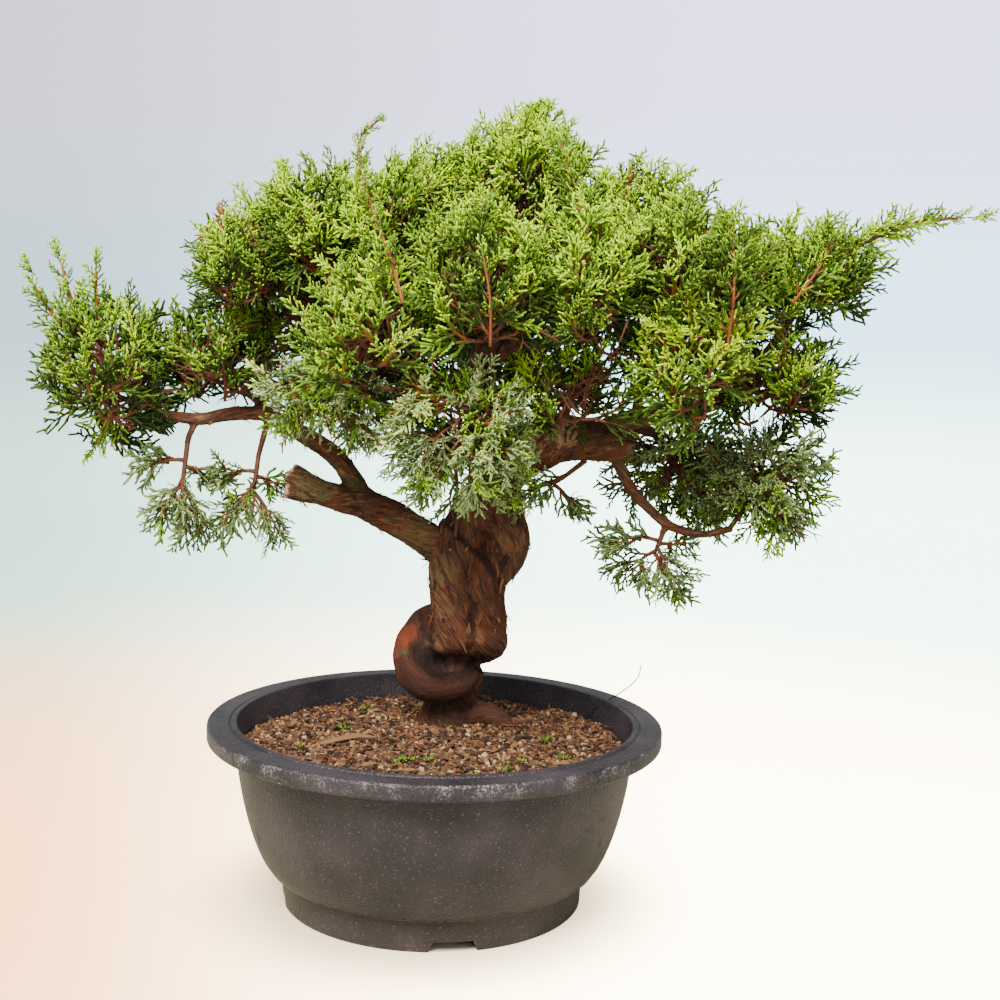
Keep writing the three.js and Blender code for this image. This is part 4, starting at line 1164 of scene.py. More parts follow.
@dataclass(frozen=True)
class SprayForm:
    """One kind of spray: a stem with branchlets in turn to either side, in millimetres."""

    length: float = 22.0
    branchlets: int = 6
    longest: float = 13.0
    shortest: float = 5.5
    lowest: float = 0.16
    highest: float = 0.86
    wide_angle: float = 44.0
    narrow_angle: float = 26.0
    thickness: float = 0.86
    shoots: int = 2
    shoot_length: float = 5.5
    needles: bool = False

    def build(self, draw: Callable[[], float]) -> "Spray":
        """Makes one spray that starts at the origin and grows up +Z.

        Args:
            draw: Repeatable random numbers.

        Returns:
            The spray's arrays.
        """
        cords = Cords(3)
        bend = np.array([strayed(draw), strayed(draw), 0.0]) * SPRAY_BEND * self.length
        places = np.linspace(0, 1, 4)
        axis = np.outer(places ** 2, bend) + np.outer(places, (0, 0, self.length))
        thick = self.thickness
        cords.add(axis, (thick * 0.85, thick, thick * 0.85), (0, 1, 2))
        plane = draw() * math.pi
        for number in range(self.branchlets):
            share = number / max(1, self.branchlets - 1)
            root = point_at(axis, places, self.lowest + (self.highest - self.lowest) * share)
            length = self.longest + (self.shortest - self.longest) * share
            length *= varied(draw, 0.15)
            angle = math.radians(self.wide_angle + (self.narrow_angle - self.wide_angle) * share)
            turn = plane + math.pi * (number % 2) + strayed(draw, 1.5)
            self._branchlet(cords, root, turn, angle, length, draw)
        return Spray(*cords.arrays())

    def _branchlet(self, cords: Cords, root: np.ndarray, turn: float, angle: float,
                   length: float, draw: Callable[[], float]) -> None:
        """Adds one branchlet and its shoots, which curve up towards the stem's direction."""
        side = np.array([math.cos(turn), math.sin(turn), 0.0])
        low, high = (math.sin(angle * part) * side + math.cos(angle * part) * UP
                     for part in (1.15, 0.6))
        knee = root + low * length * 0.45
        neck = knee + high * length * 0.5
        tip = neck + high * self.thickness * 0.9
        thick = self.thickness * 0.9
        if self.needles:
            cords.add(np.array([root, knee, tip]), (thick * 0.8, thick * 0.7), (1, 2))
        else:
            cords.add(np.array([root, knee, neck, tip]), (thick * 0.8, thick, thick * 0.85),
                      (1, 2, 3))
        across = np.cross(side, UP)
        for shoot in range(self.shoots):
            out = 0.3 + 0.36 * shoot + 0.1 * draw()
            base = root + (knee - root) * min(1.0, out / 0.45) + (neck - knee) * max(
                0.0, (out - 0.45) / 0.42)
            lean = across * (1 if shoot % 2 else -1) * (0.6 + 0.3 * draw())
            away = unit(high + lean + side * 0.25 * (draw() - 0.3))
            reach = self.shoot_length * varied(draw, 0.2)
            end = base + away * reach
            if self.needles:
                cords.add(np.array([base, end]), (thick * 0.7,), (2,))
            else:
                cords.add(np.array([base, base + away * (reach - thick), end]),
                          (thick * 0.9, thick * 0.85), (2, 3))


class Spray(NamedTuple):
    """Arrays of one spray, which are placed many times."""

    points: np.ndarray
    faces: np.ndarray
    kinds: np.ndarray


FULL = SprayForm()
SMALL = SprayForm(length=15, branchlets=5, longest=9, shortest=4.5, shoot_length=4.5)
LOOSE = SprayForm(length=24, branchlets=8, longest=8.5, shortest=3.8, thickness=0.9,
                  wide_angle=56, narrow_angle=34, shoots=2, shoot_length=3.6, needles=True)
VARIANTS = 5
PATTERN_SEED = 77
BOX_MARGIN = 0.2
SPRAY_TURN = 2.399


class Placed(NamedTuple):
    """Where one spray stands: its foot, its direction, its size and its tones."""

    foot: np.ndarray
    along: np.ndarray
    size: float
    palette: Palette
    pattern: Spray


class LimbField:
    """Every limb of the tree, to ask how near a point is to wood."""

    def __init__(self, step: float = 3.0) -> None:
        """Samples all limbs.

        Args:
            step: Distance between samples.
        """
        paths = [LEADER, FOOT, LEFT_STRAND, RIGHT_STRAND, *(bough.path for bough in BOUGHS)]
        self.rows = np.vstack([sampled(path, step) for path in paths])
        self.tree = point_tree(self.rows)

    def clear(self, point: np.ndarray, room: float) -> bool:
        """Whether a point is farther than some room from the wood."""
        for _, number, distance in self.tree.find_n(Vector(point), 4):
            if distance < self.rows[number, 3] + room:
                return False
        return True


class Wooden(Enum):
    """Kinds of twig, which are also the material slots of the twig piece."""

    OLD = 0
    YOUNG = 1


class Leader(NamedTuple):
    """A strong shoot in front of a mass: where it runs, how full it is and how light."""

    mass: str
    path: tuple[Point, ...]
    fullness: float
    light: float


OPEN_MASSES = ("left_weep", "left_inner", "right_weep", "inner")
SHADY_MASSES = (*OPEN_MASSES, "right_low", "back_right_low")
LACY = {"right_low": 0.5, "back_right_low": 0.5, "front_left": 0.25, "right_mid": 0.15,
        "left_mid": 0.15, "center_left_front": 0.1, "center_right_low": 0.3}
LEADERS: tuple[Leader, ...] = (
    Leader("upper_mid_left", ((-19, -108, 314), (-25, -92, 333), (-33, -74, 352), (-39, -60, 368),
                              (-43, -45, 384), (-43, -35, 395), (-34, -26, 405)), 0.62, 0.3),
    Leader("center_front", ((20.5, -107, 296), (19.6, -116, 316), (16, -117, 336)), 1.0, -0.2),
    Leader("center_front", ((15.4, -100, 338), (15, -96, 352), (14, -92, 364)), 0.8, 0.25),
    Leader("center_right_front", ((66, -80, 338), (63, -66, 360), (59, -52, 378),
                                  (54, -38, 396)), 0.9, 0.25),
    Leader("right_front", ((131, -88, 296), (132, -93, 320), (132, -90, 340), (131, -82, 355)),
           1.0, 0.1),
    Leader("right_upper", ((169, -50, 320), (181, -47, 336), (190, -42, 352)), 0.9, 0.2))
TUFTS: dict[str, tuple[Point, ...]] = {
    "top": ((43, 17, 419), (47, 21, 424), (54, 19, 424), (58, 18, 418))}
PLANE_SKIP = 0.3
UNDERSIDE_SKIP = 0.75
# Sprays whose mass faces this way take brighter tones: painted light
LIGHT_FROM = np.array([-0.2, -0.55, 0.81])
TONE_SHIFT = {"left_end": -0.32, "left_mid": -0.2, "center_left_front": 0.1,
              "center_right_front": 0.1, "top": 0.15, "back_top": 0.1,
              "top_left": 0.1, "right_mid": -0.1}
SPRAY_SEED = 901
SHORTEST_FORK = 0.6
RISING_SAG = 0.1
HANGING_SAG = -0.14
TWIG_BEND = 0.07
SHOOT_BEND = 0.09
PLUME_TIP = 2.5
PLUME_TAPER = np.array([1.1, 1.0, 0.9, 0.8, 0.6])
JOIN_TAPER = np.array([1.3, 1.15, 1.1])
DARKEST = -9.0
# Ladders of tones from bright to dark, for painted light and shade
YELLOW_LADDER = ((0.2, YELLOW), (0.08, YELLOW_DARK), (-0.25, LIGHT), (DARKEST, MIDDLE))
SHADY_LADDER = ((0.22, COOLER), (-0.1, HANGING), (-0.3, LIGHT), (DARKEST, MIDDLE))
HANGING_LADDER = ((0.34, PALER), (0.1, COOLER), (-0.16, LIGHT), (DARKEST, HANGING))
UPRIGHT_LADDER = ((0.3, BRIGHT), (0.02, LIGHT), (-0.32, MIDDLE), (-0.7, DARK), (DARKEST, SHADED))


@dataclass(frozen=True)
class GrowthSizes:
    """Sizes of the growth in millimetres, and its shares."""

    spacing: float = 21.5
    plume_length: float = 33.0
    shortest_plume: float = 0.75
    plume_range: float = 0.45
    knee: float = 0.45
    spray_spacing: float = 5.6
    main_radius: float = 1.3
    fork_radius: float = 1.0
    plume_radius: float = 0.85
    twig_radius: float = 0.75
    shoot_spacing: float = 4.4
    strand_spacing: float = 5.6
    leader_spacing: float = 3.4
    bare_share: float = 0.45
    dead_share: float = 0.012
    clearance: float = 1.5
    underside: float = -0.45
    used_reach: float = 0.94


@dataclass(frozen=True)
class SprayRow:
    """How sprays stand along a stem: "more" is what the stem's foot has over its tip."""

    start: float
    lean: float
    more_lean: float
    rise: float
    size: float
    more_size: float

    def heading(self, along: np.ndarray, side: np.ndarray, left: float) -> np.ndarray:
        """Direction of a spray to one side, where a share of the stem is left."""
        return unit(along + side * (self.lean + self.more_lean * left) + self.rise * UP)

    def scale(self, left: float) -> float:
        """Size of a spray where a share of the stem is left."""
        return self.size + self.more_size * left


PLUME_ROW = SprayRow(0.16, 0.78, 0.22, 0.14, 0.62, 0.5)
LEADER_ROW = SprayRow(0.1, 0.5, 0.4, 0.1, 0.55, 0.45)
STRAND_ROW = SprayRow(0.22, 0.75, 0.0, -0.2, 0.8, 0.3)
SHOOT_ROW = SprayRow(0.25, 0.48, 0.24, 0.0, 0.34, 0.62)


class MassGrowth:
    """Grows one mass: stem, main twigs, forks, long shoots and the plumes on them."""

    def __init__(self, crown: "Crown", mass: Mass, number: int, sizes: GrowthSizes) -> None:
        """Gets ready to grow a mass.

        Args:
            crown: The crown that gathers twigs and sprays.
            mass: The mass.
            number: Its place in the table, which seeds the rule.
            sizes: Sizes of the growth.
        """
        self.crown = crown
        self.mass = mass
        self.sizes = sizes
        self.space = Space(mass)
        self.rule = seeded(FIRST_SEED + number)
        self.draw = seeded(SPRAY_SEED + number)

    def grow(self) -> None:
        """Adds the mass to the crown."""
        mass, sizes = self.mass, self.sizes
        start, end, radius = self.stem()
        stem = np.linspace(start, end, 5)
        self.wood(stem, np.linspace(radius, max(0.7 * radius, sizes.main_radius), 4))
        holds = [stem[1:]]
        dense = mass.name not in OPEN_MASSES
        side_start = SIDE_START if dense else OPEN_SIDE_START
        for root, along, forks in self.branching(start, end):
            reach = self.space.reach(root, along)
            if reach < SHORTEST_TWIG:
                continue
            lines = [self.twig(root, along, reach, sizes.main_radius)]
            for fork in forks:
                base = root + along * side_start * reach
                length = min(LONGEST_SIDE, self.space.reach(base, fork))
                if length > SHORTEST_TWIG * SHORTEST_FORK:
                    lines.append(self.twig(base, fork, length, sizes.fork_radius))
            holds += lines
            for line in lines:
                if not mass.upright:
                    self.strand(line[:6])
        for tip in (*mass.shoots, *TUFTS.get(mass.name, ())):
            self.shoot(end, np.array(tip, float))
        for leader in LEADERS:
            if leader.mass == mass.name:
                self.leader(leader)
        if dense:
            self.plumes(np.vstack(holds))
            self.bare_twigs(np.vstack(holds))

    def stem(self) -> tuple[np.ndarray, np.ndarray, float]:
        """Start and end of the mass's stem and its radius at the start."""
        mass = self.mass
        if mass.start:
            start, radius = np.array(mass.start[:3], float), mass.start[3]
        else:
            path = LEADER if mass.parent == "trunk" else next(
                bough.path for bough in BOUGHS if bough.name == mass.parent)
            rows = sampled(path, 4.0, entry_share(path, mass.parent))
            along = unit(rows[-1, :3] - rows[-2, :3])
            start, radius = rows[-1, :3] - along * 2.0, rows[-1, 3] * STEM_START_SHARE
        end = start + (np.array(mass.centre) - start) * STEM_DEPTH
        return start, end, radius

    def branching(self, start: np.ndarray, end: np.ndarray,
                  ) -> Iterator[tuple[np.ndarray, np.ndarray, list[np.ndarray]]]:
        """The source's rule: each main twig's root and direction, and its two forks."""
        mass, draw = self.mass, self.rule
        centre, half = np.array(mass.centre, float), np.array(mass.half, float)
        lift = FORK_LIFT if mass.upright else -FORK_LIFT
        for i in range(mass.twigs):
            height = 1 - SPREAD * (i + 0.5) / mass.twigs
            turn = i * GOLDEN_TURN + strayed(draw, TURN_WANDER)
            spread = on_ball(height if mass.upright else -height, turn)
            root = start + (end - start) * (1 - (1 - LOWEST_TWIG) * i / (mass.twigs - 1))
            along = unit(spread * half + centre - root)
            flat = np.cross(np.cross(along, UP), along)
            flat = unit(flat) if flat @ flat > 1e-4 else np.array([1.0, 0.0, 0.0])
            flat = turned(flat, along, strayed(draw, TWIST))
            outward = unit(spread * half)
            forks = []
            for side in (1, -1):
                angle = side * SIDE_FORK * (1 + strayed(draw, FORK_WANDER))
                forks.append(unit(turned(along, flat, angle) + FORK_OUTWARD * outward + lift * UP))
            yield root, along, forks

    def wood(self, rows: np.ndarray, radii: Sequence[float], *kinds: Wooden) -> None:
        """Adds one cord of wood, which is old where no kind is named."""
        self.crown.twigs.add(rows, radii, [kind.value for kind in kinds or (Wooden.OLD,)])

    def put(self, foot: np.ndarray, along: np.ndarray, size: float, palette: Palette,
            pattern: Spray) -> None:
        """Adds one spray to the mass's region."""
        self.crown.place(self.mass, Placed(foot, along, size, palette, pattern))

    def pattern(self, form: SprayForm) -> Spray:
        """A spray of a form, drawn from its variants."""
        return self.crown.patterns[form][int(self.draw() * VARIANTS) % VARIANTS]

    def room(self, places: np.ndarray) -> bool:
        """Whether all points stand clear of the wood."""
        return all(self.crown.field.clear(place, self.sizes.clearance) for place in places)

    def palette(self, light: float, dead: bool = False) -> Palette:
        """Tones for a spray, as painted light: bright on top and outside, dark inside and below as
        painted shade.
        """
        if dead:
            return DEAD
        if self.mass.name == "yellow":
            ladder = YELLOW_LADDER
        elif self.mass.name in SHADY_MASSES:
            ladder = SHADY_LADDER
        else:
            ladder = UPRIGHT_LADDER if self.mass.upright else HANGING_LADDER
        return next(palette for limit, palette in ladder if light > limit)

    def twig(self, root: np.ndarray, along: np.ndarray, reach: float,
             radius: float) -> np.ndarray:
        """Adds one woody twig with a slight bend, and returns points along it."""
        length = reach * self.sizes.used_reach
        share = np.linspace(0, 1, 6)
        sag = np.array([0, 0, RISING_SAG if self.mass.upright else HANGING_SAG]) * length
        side = unit(np.cross(along, (0.3, 0.2, 1.0))) * length * TWIG_BEND
        bow = share * (1 - share) * 2
        rows = root + np.outer(share * length, along) + np.outer(bow, side) - np.outer(bow, sag)
        self.wood(rows, np.linspace(radius, radius * 0.45, 5))
        return np.vstack([rows, (rows[1:-1] + rows[2:]) / 2])

    def plumes(self, holds: np.ndarray) -> None:
        """Covers the mass with plumes, each joined to the nearest twig.

        Args:
            holds: Points on the mass's twigs.
        """
        mass, space, draw = self.mass, self.space, self.draw
        a, b, c = mass.half
        area = 4 * math.pi * (((a * b) ** 1.6 + (a * c) ** 1.6 + (b * c) ** 1.6) / 3) ** 0.625
        count = int(area / self.sizes.spacing ** 2)
        tree = point_tree(holds)
        for i in range(count):
            height = 1 - 2 * (i + 0.5) / count
            ball = on_ball(height, i * GOLDEN_TURN + strayed(draw, 0.6))
            skip, depth = draw(), 0.8 + 0.2 * draw() ** 0.7
            if mass.upright and height < self.sizes.underside and skip < UNDERSIDE_SKIP:
                continue
            if draw() < LACY.get(mass.name, 0.0):
                continue
            direction = unit(ball * space.half)
            reach, free = space.skin(direction[None])
            if not free[0] and skip < PLANE_SKIP:
                continue
            tip = space.centre + direction * float(reach[0]) * depth
            foot = self.plume(tip, unit(direction / space.half ** 2), bool(free[0]))
            if foot is not None:
                self.join(*foot, tree)

    def plume(self, tip: np.ndarray, normal: np.ndarray,
              free: bool) -> tuple[np.ndarray, np.ndarray] | None:
        """Adds a curved young stem with sprays that shorten towards its tip.

        Args:
            tip: Where it ends.
            normal: Outward direction of the mass's skin there.
            free: Whether that skin faces the air.

        Returns:
            Its foot and direction there, or nothing where wood is in its way.
        """
        draw, sizes = self.draw, self.sizes
        wander = jitter(draw)
        if self.mass.upright:
            low = unit(normal + 0.1 * UP + 0.5 * wander)
            high = unit(0.45 * normal + 0.8 * UP + 0.6 * wander)
        else:
            low = unit(normal * (1, 1, 0.5) + 0.25 * UP + 0.5 * wander)
            high = unit(0.8 * normal - 0.45 * UP + 0.6 * wander)
        length = sizes.plume_length * (sizes.shortest_plume + sizes.plume_range * draw())
        knee = tip - high * length * (1 - sizes.knee)
        rows = bowed(knee - low * length * sizes.knee, knee, tip, 6)
        if not self.room(rows):
            return None
        # Painted light: brighter where the skin faces LIGHT_FROM, and darker, as painted shade,
        # where it faces a neighbouring mass
        light = (0.55 * float(normal @ LIGHT_FROM) + (0.05 if free else -0.2)
                 + strayed(draw, 0.55) + TONE_SHIFT.get(self.mass.name, 0.0))
        dead = draw() < sizes.dead_share
        form = FULL if self.mass.upright or draw() < 0.6 else LOOSE
        number = int(draw() * 2)
        last = SMALL if form is FULL else form
        pattern = self.pattern(last)
        size = 0.65 + 0.25 * draw()
        heading = unit(rows[-1] - rows[-2])
        self.put(tip - heading * last.length * size, heading, size,
                 self.palette(light + 0.25, dead), pattern)
        places = np.linspace(0, 1, len(rows))
        run = length - PLUME_TIP
        while run > length * PLUME_ROW.start:
            along = run / length
            heading = unit(rows[min(5, int(along * 5) + 1)] - rows[int(along * 5)])
            side = beside(heading, number * GOLDEN_TURN + 0.5 * draw())
            lean = PLUME_ROW.heading(heading, side, 1 - along)
            size = PLUME_ROW.scale(1 - along) * varied(draw, 0.15)
            # Painted shade: sprays lower on the plume take darker tones
            shade = light - 0.55 * (1 - along) + strayed(draw, 0.3)
            pattern = self.pattern(form)
            base = point_at(rows, places, along) - lean * 1.0
            if self.room([base + lean * form.length * size]):
                self.put(base, lean, size, self.palette(shade, dead), pattern)
            run -= sizes.spray_spacing * varied(draw, 0.2)
            number += 1
        kind = Wooden.YOUNG if draw() < 0.35 else Wooden.OLD
        self.wood(rows, sizes.plume_radius * PLUME_TAPER, Wooden.OLD, Wooden.OLD, kind)
        return rows[0], unit(rows[1] - rows[0])

    def leader(self, leader: Leader) -> None:
        """Adds a strong shoot with a visible young stem and sprays all round it."""
        draw = self.draw
        rows = sampled([(*point, 1.0) for point in leader.path], 3.0)[:, :3]
        places = np.linspace(0, 1, len(rows))
        length = float(np.linalg.norm(np.diff(rows, axis=0), axis=1).sum())
        self.wood(rows, np.linspace(0.85, 0.5, len(rows) - 1), Wooden.YOUNG)
        run, number = LEADER_ROW.start * length, 0
        while run < length - 1:
            share = run / length
            place = point_at(rows, places, share)
            step = int(share * len(rows))
            heading = unit(rows[min(len(rows) - 1, step + 1)] - rows[min(len(rows) - 2, step)])
            side = beside(heading, number * GOLDEN_TURN + 0.5 * draw())
            if side[1] > -0.8 or share > 0.4 or draw() < 0.55:
                lean = LEADER_ROW.heading(heading, side, 1 - share)
                size = leader.fullness * LEADER_ROW.scale(1 - share) * varied(draw, 0.15)
                light = leader.light - 0.3 * (1 - share) + strayed(draw, 0.4)
                self.put(place, lean, size, self.palette(light),
                         self.pattern(FULL if size > 0.6 else SMALL))
            run += self.sizes.leader_spacing
            number += 1
        heading = unit(rows[-1] - rows[-2])
        self.put(rows[-1] - heading * 4, heading, 0.7 * leader.fullness, BRIGHT,
                 self.pattern(SMALL))

    def bare_twigs(self, holds: np.ndarray) -> None:
        """Adds the fine leafless twigs inside the mass, each with a fork."""
        draw = self.draw
        for _ in range(int(len(holds) * self.sizes.bare_share)):
            base = holds[int(draw() * len(holds))]
            along = unit(np.array([draw() - 0.5, draw() - 0.5, draw() - 0.6]))
            length = 8 + 14 * draw()
            bend = 0.35 * length * jitter(draw)
            rows = np.array([base, base + along * length * 0.5 + bend, base + along * length])
            if not self.room(rows):
                continue
            self.wood(rows, (0.55, 0.4))
            fork = unit(along + 0.9 * unit(bend + 0.1))
            self.wood(np.array([rows[1], rows[1] + fork * length * 0.45]), (0.38,))

    def strand(self, line: np.ndarray) -> None:
        """Adds thin sprays in turn to both sides of a hanging twig, and one at its end."""
        draw = self.draw
        steps = np.linalg.norm(np.diff(line, axis=0), axis=1)
        length = float(steps.sum())
        places = np.concatenate([[0], np.cumsum(steps)]) / length
        heading = unit(line[-1] - line[0])
        run, number = STRAND_ROW.start * length, int(draw() * 2)
        while run < length:
            share = run / length
            place = point_at(line, places, share)
            side = beside(heading, math.pi * number + strayed(draw, 1.3))
            lean = STRAND_ROW.heading(heading, side, 1 - share)
            form = SMALL if draw() < 0.6 else LOOSE
            size = (0.82 if form is SMALL else 0.5) * (STRAND_ROW.scale(1 - share) + 0.4 * draw())
            light = strayed(draw, 0.7) + 0.15 * share
            if self.room([place + lean * 8]):
                self.put(place, lean, size, self.palette(light), self.pattern(form))
            run += self.sizes.strand_spacing
            number += 1
        heading = unit(line[-1] - line[-2])
        self.put(line[-1] - heading * 6, heading, 0.8, self.palette(0.2), self.pattern(SMALL))

    def join(self, foot: np.ndarray, along: np.ndarray, tree: kdtree.KDTree) -> None:
        """Adds the thin twig that carries a plume from the nearest good twig."""
        best, score = foot, math.inf
        for place, _, distance in tree.find_n(Vector(foot), 10):
            turn = 1 - float(unit(foot - np.array(place)) @ along)
            if distance * (1 + turn) < score:
                best, score = np.array(place), distance * (1 + turn)
        reach = float(np.linalg.norm(foot - best))
        middle = best + (foot - best) * 0.55 - along * reach * 0.16
        self.wood(bowed(best, middle, foot + along * 2.0, 4), self.sizes.twig_radius * JOIN_TAPER)

    def shoot(self, start: np.ndarray, tip: np.ndarray) -> None:
        """Adds a long shoot that leaves the mass, with sprays dwindling to its tip."""
        draw = self.draw
        along = unit(tip - start)
        length = float(np.linalg.norm(tip - start))
        bend = unit(np.cross(along, (0.2, 1.0, 0.1))) * length * SHOOT_BEND
        share = np.linspace(0, 1, 9)
        rows = start + np.outer(share * length, along) + np.outer(np.sin(share * math.pi), bend)
        self.wood(rows[:-1], np.linspace(1.3, 0.8, 7), *[Wooden.OLD] * 3, Wooden.YOUNG)
        heading = unit(rows[-1] - rows[-2])
        self.put(rows[-1] - heading * SMALL.length * 0.6, heading, 0.6, BRIGHT,
                 self.pattern(SMALL))
        run, number = length * SHOOT_ROW.start, 0
        while run < length - 5:
            place = point_at(rows, share, run / length)
            left = (length - run) / length
            side = beside(along, number * GOLDEN_TURN + 0.5 * draw())
            lean = SHOOT_ROW.heading(along, side, left)
            size = SHOOT_ROW.scale(left) + 0.12 * draw()
            chosen = BRIGHT if draw() < 0.55 else LIGHT
            self.put(place, lean, size, chosen, self.pattern(SMALL if left < 0.4 else FULL))
            run += self.sizes.shoot_spacing * varied(draw, 0.2)
            number += 1


class Crown:
    """All foliage: sprays gathered by region, and the twigs that carry them."""

    def __init__(self, sizes: GrowthSizes) -> None:
        """Grows every mass.

        Args:
            sizes: Sizes of the growth.
        """
        self.field = LimbField()
        self.twigs = Cords(5)
        self.placed: dict[Region, list[Placed]] = {region: [] for region in Region}
        self.patterns: dict[SprayForm, list[Spray]] = {}
        for form in (FULL, SMALL, LOOSE):
            draw = seeded(PATTERN_SEED)
            self.patterns[form] = [form.build(draw) for _ in range(VARIANTS)]
        for number, mass in enumerate(MASSES):
            MassGrowth(self, mass, number, sizes).grow()

    def place(self, mass: Mass, spray: Placed) -> None:
        """Keeps a spray for the region that its mass is in."""
        region = next(region for region, names in REGIONS.items() if mass.name in names)
        self.placed[region].append(spray)

    def build(self, leaf_materials: Sequence[bpy.types.Material],
              twig_materials: Sequence[bpy.types.Material]) -> None:
        """Makes the leaf pieces and the twig piece.

        Args:
            leaf_materials: One material for each tone.
            twig_materials: One material for each kind of twig.
        """
        low, high = ((np.array(corner) - POT_AXIS) / MILLIMETRE for corner in CAD_BOX)
        low, high = low + BOX_MARGIN, high - BOX_MARGIN
        for region, sprays in self.placed.items():
            piece = self.joined(sprays, low, high).piece(f"leaves_{region.value}", leaf_materials)
            nodes = [f"foliage_{name}" for name in REGIONS[region]]
            settle(piece, nodes)
        self.twigs.points = [np.clip(points, low, high) for points in self.twigs.points]
        settle(self.twigs.piece("crown_twigs", twig_materials))

    @staticmethod
    def joined(sprays: Sequence[Placed], low: np.ndarray, high: np.ndarray) -> Bundle:
        """Many placed sprays, each one moved back where it leaves the box."""
        bundle = Bundle()
        for number, spray in enumerate(sprays):
            along, pattern = spray.along, spray.pattern
            side = unit(np.cross(along, (0.31, 0.87, 0.38)))
            turn = number * SPRAY_TURN
            one = side * math.cos(turn) + np.cross(along, side) * math.sin(turn)
            points = spray.foot + pattern.points * spray.size @ np.array(
                [one, np.cross(along, one), along])
            points += np.maximum(low - points.min(0), 0) - np.maximum(points.max(0) - high, 0)
            bundle.keep(points, pattern.faces, spray.palette.slots()[pattern.kinds])
        return bundle


# Wood


class Skin(NamedTuple):
    """Points of a finished piece of wood, their normals, and the grain's direction there."""

    points: np.ndarray
    normals: np.ndarray
    along: np.ndarray
    radii: np.ndarray
    rough: np.ndarray


class GrainRows(NamedTuple):
    """Stations of limbs: where they are, the grain's direction and side, run and calm."""

    rows: np.ndarray
    along: np.ndarray
    sides: np.ndarray
    runs: np.ndarray
    calms: np.ndarray


GRAIN_START = (0.0, 1.0, 0.1)
LIMB_RUN = 400.0
SHRED_SEED = 3001


@dataclass(frozen=True)
class Crease:
    """A fold in the front of the bark, whose right side may stand proud of its left."""

    path: tuple[tuple[float, float], ...]
    depth: float
    width: float
    fold: float = 0.0
    fade: float = 6.0

    def carve(self, points: np.ndarray, outward: np.ndarray) -> tuple[np.ndarray, np.ndarray]:
        """How far each point moves out, and how deep in the fold it lies from 0 to 1.

        Args:
            points: Rows of x, y and z.
            outward: Normals there.

        Returns:
            The moves in millimetres and the shares of the depth.
        """
        line = sampled([(x, 0.0, z, 1.0) for x, z in self.path], 0.6)[:, [0, 2]]
        along = unit(np.gradient(line, axis=0))
        moves, deeps = np.zeros(len(points)), np.zeros(len(points))
        flat = points[:, [0, 2]]
        low, high = line.min(0) - 3 * self.fade, line.max(0) + 3 * self.fade
        front = (outward[:, 1] < 0.1) & (points[:, 1] < FRONT_DEPTH)
        near = np.flatnonzero(((flat > low) & (flat < high)).all(1) & front)
        for part in np.array_split(near, max(1, len(near) // 20000)):
            offset = flat[part, None] - line[None]
            distance = np.linalg.norm(offset, axis=2)
            best = distance.argmin(1)
            row = np.arange(len(part))
            gap, aside = distance[row, best], offset[row, best]
            lean = along[best, 1] * aside[:, 0] - along[best, 0] * aside[:, 1]
            ends = (best == 0) | (best == len(line) - 1)
            ease = np.where(ends, np.exp(-(gap / self.width) ** 2), 1.0)
            deep = np.exp(-(gap / self.width) ** 2)
            side = np.clip(lean / self.width, -1, 1) * np.exp(-gap / self.fade)
            shown = np.clip(-outward[part, 1] + 0.1, 0, 1)
            moves[part] = (-self.depth * deep + self.fold * side * ease) * np.sqrt(shown)
            deeps[part] = deep
        return moves, deeps


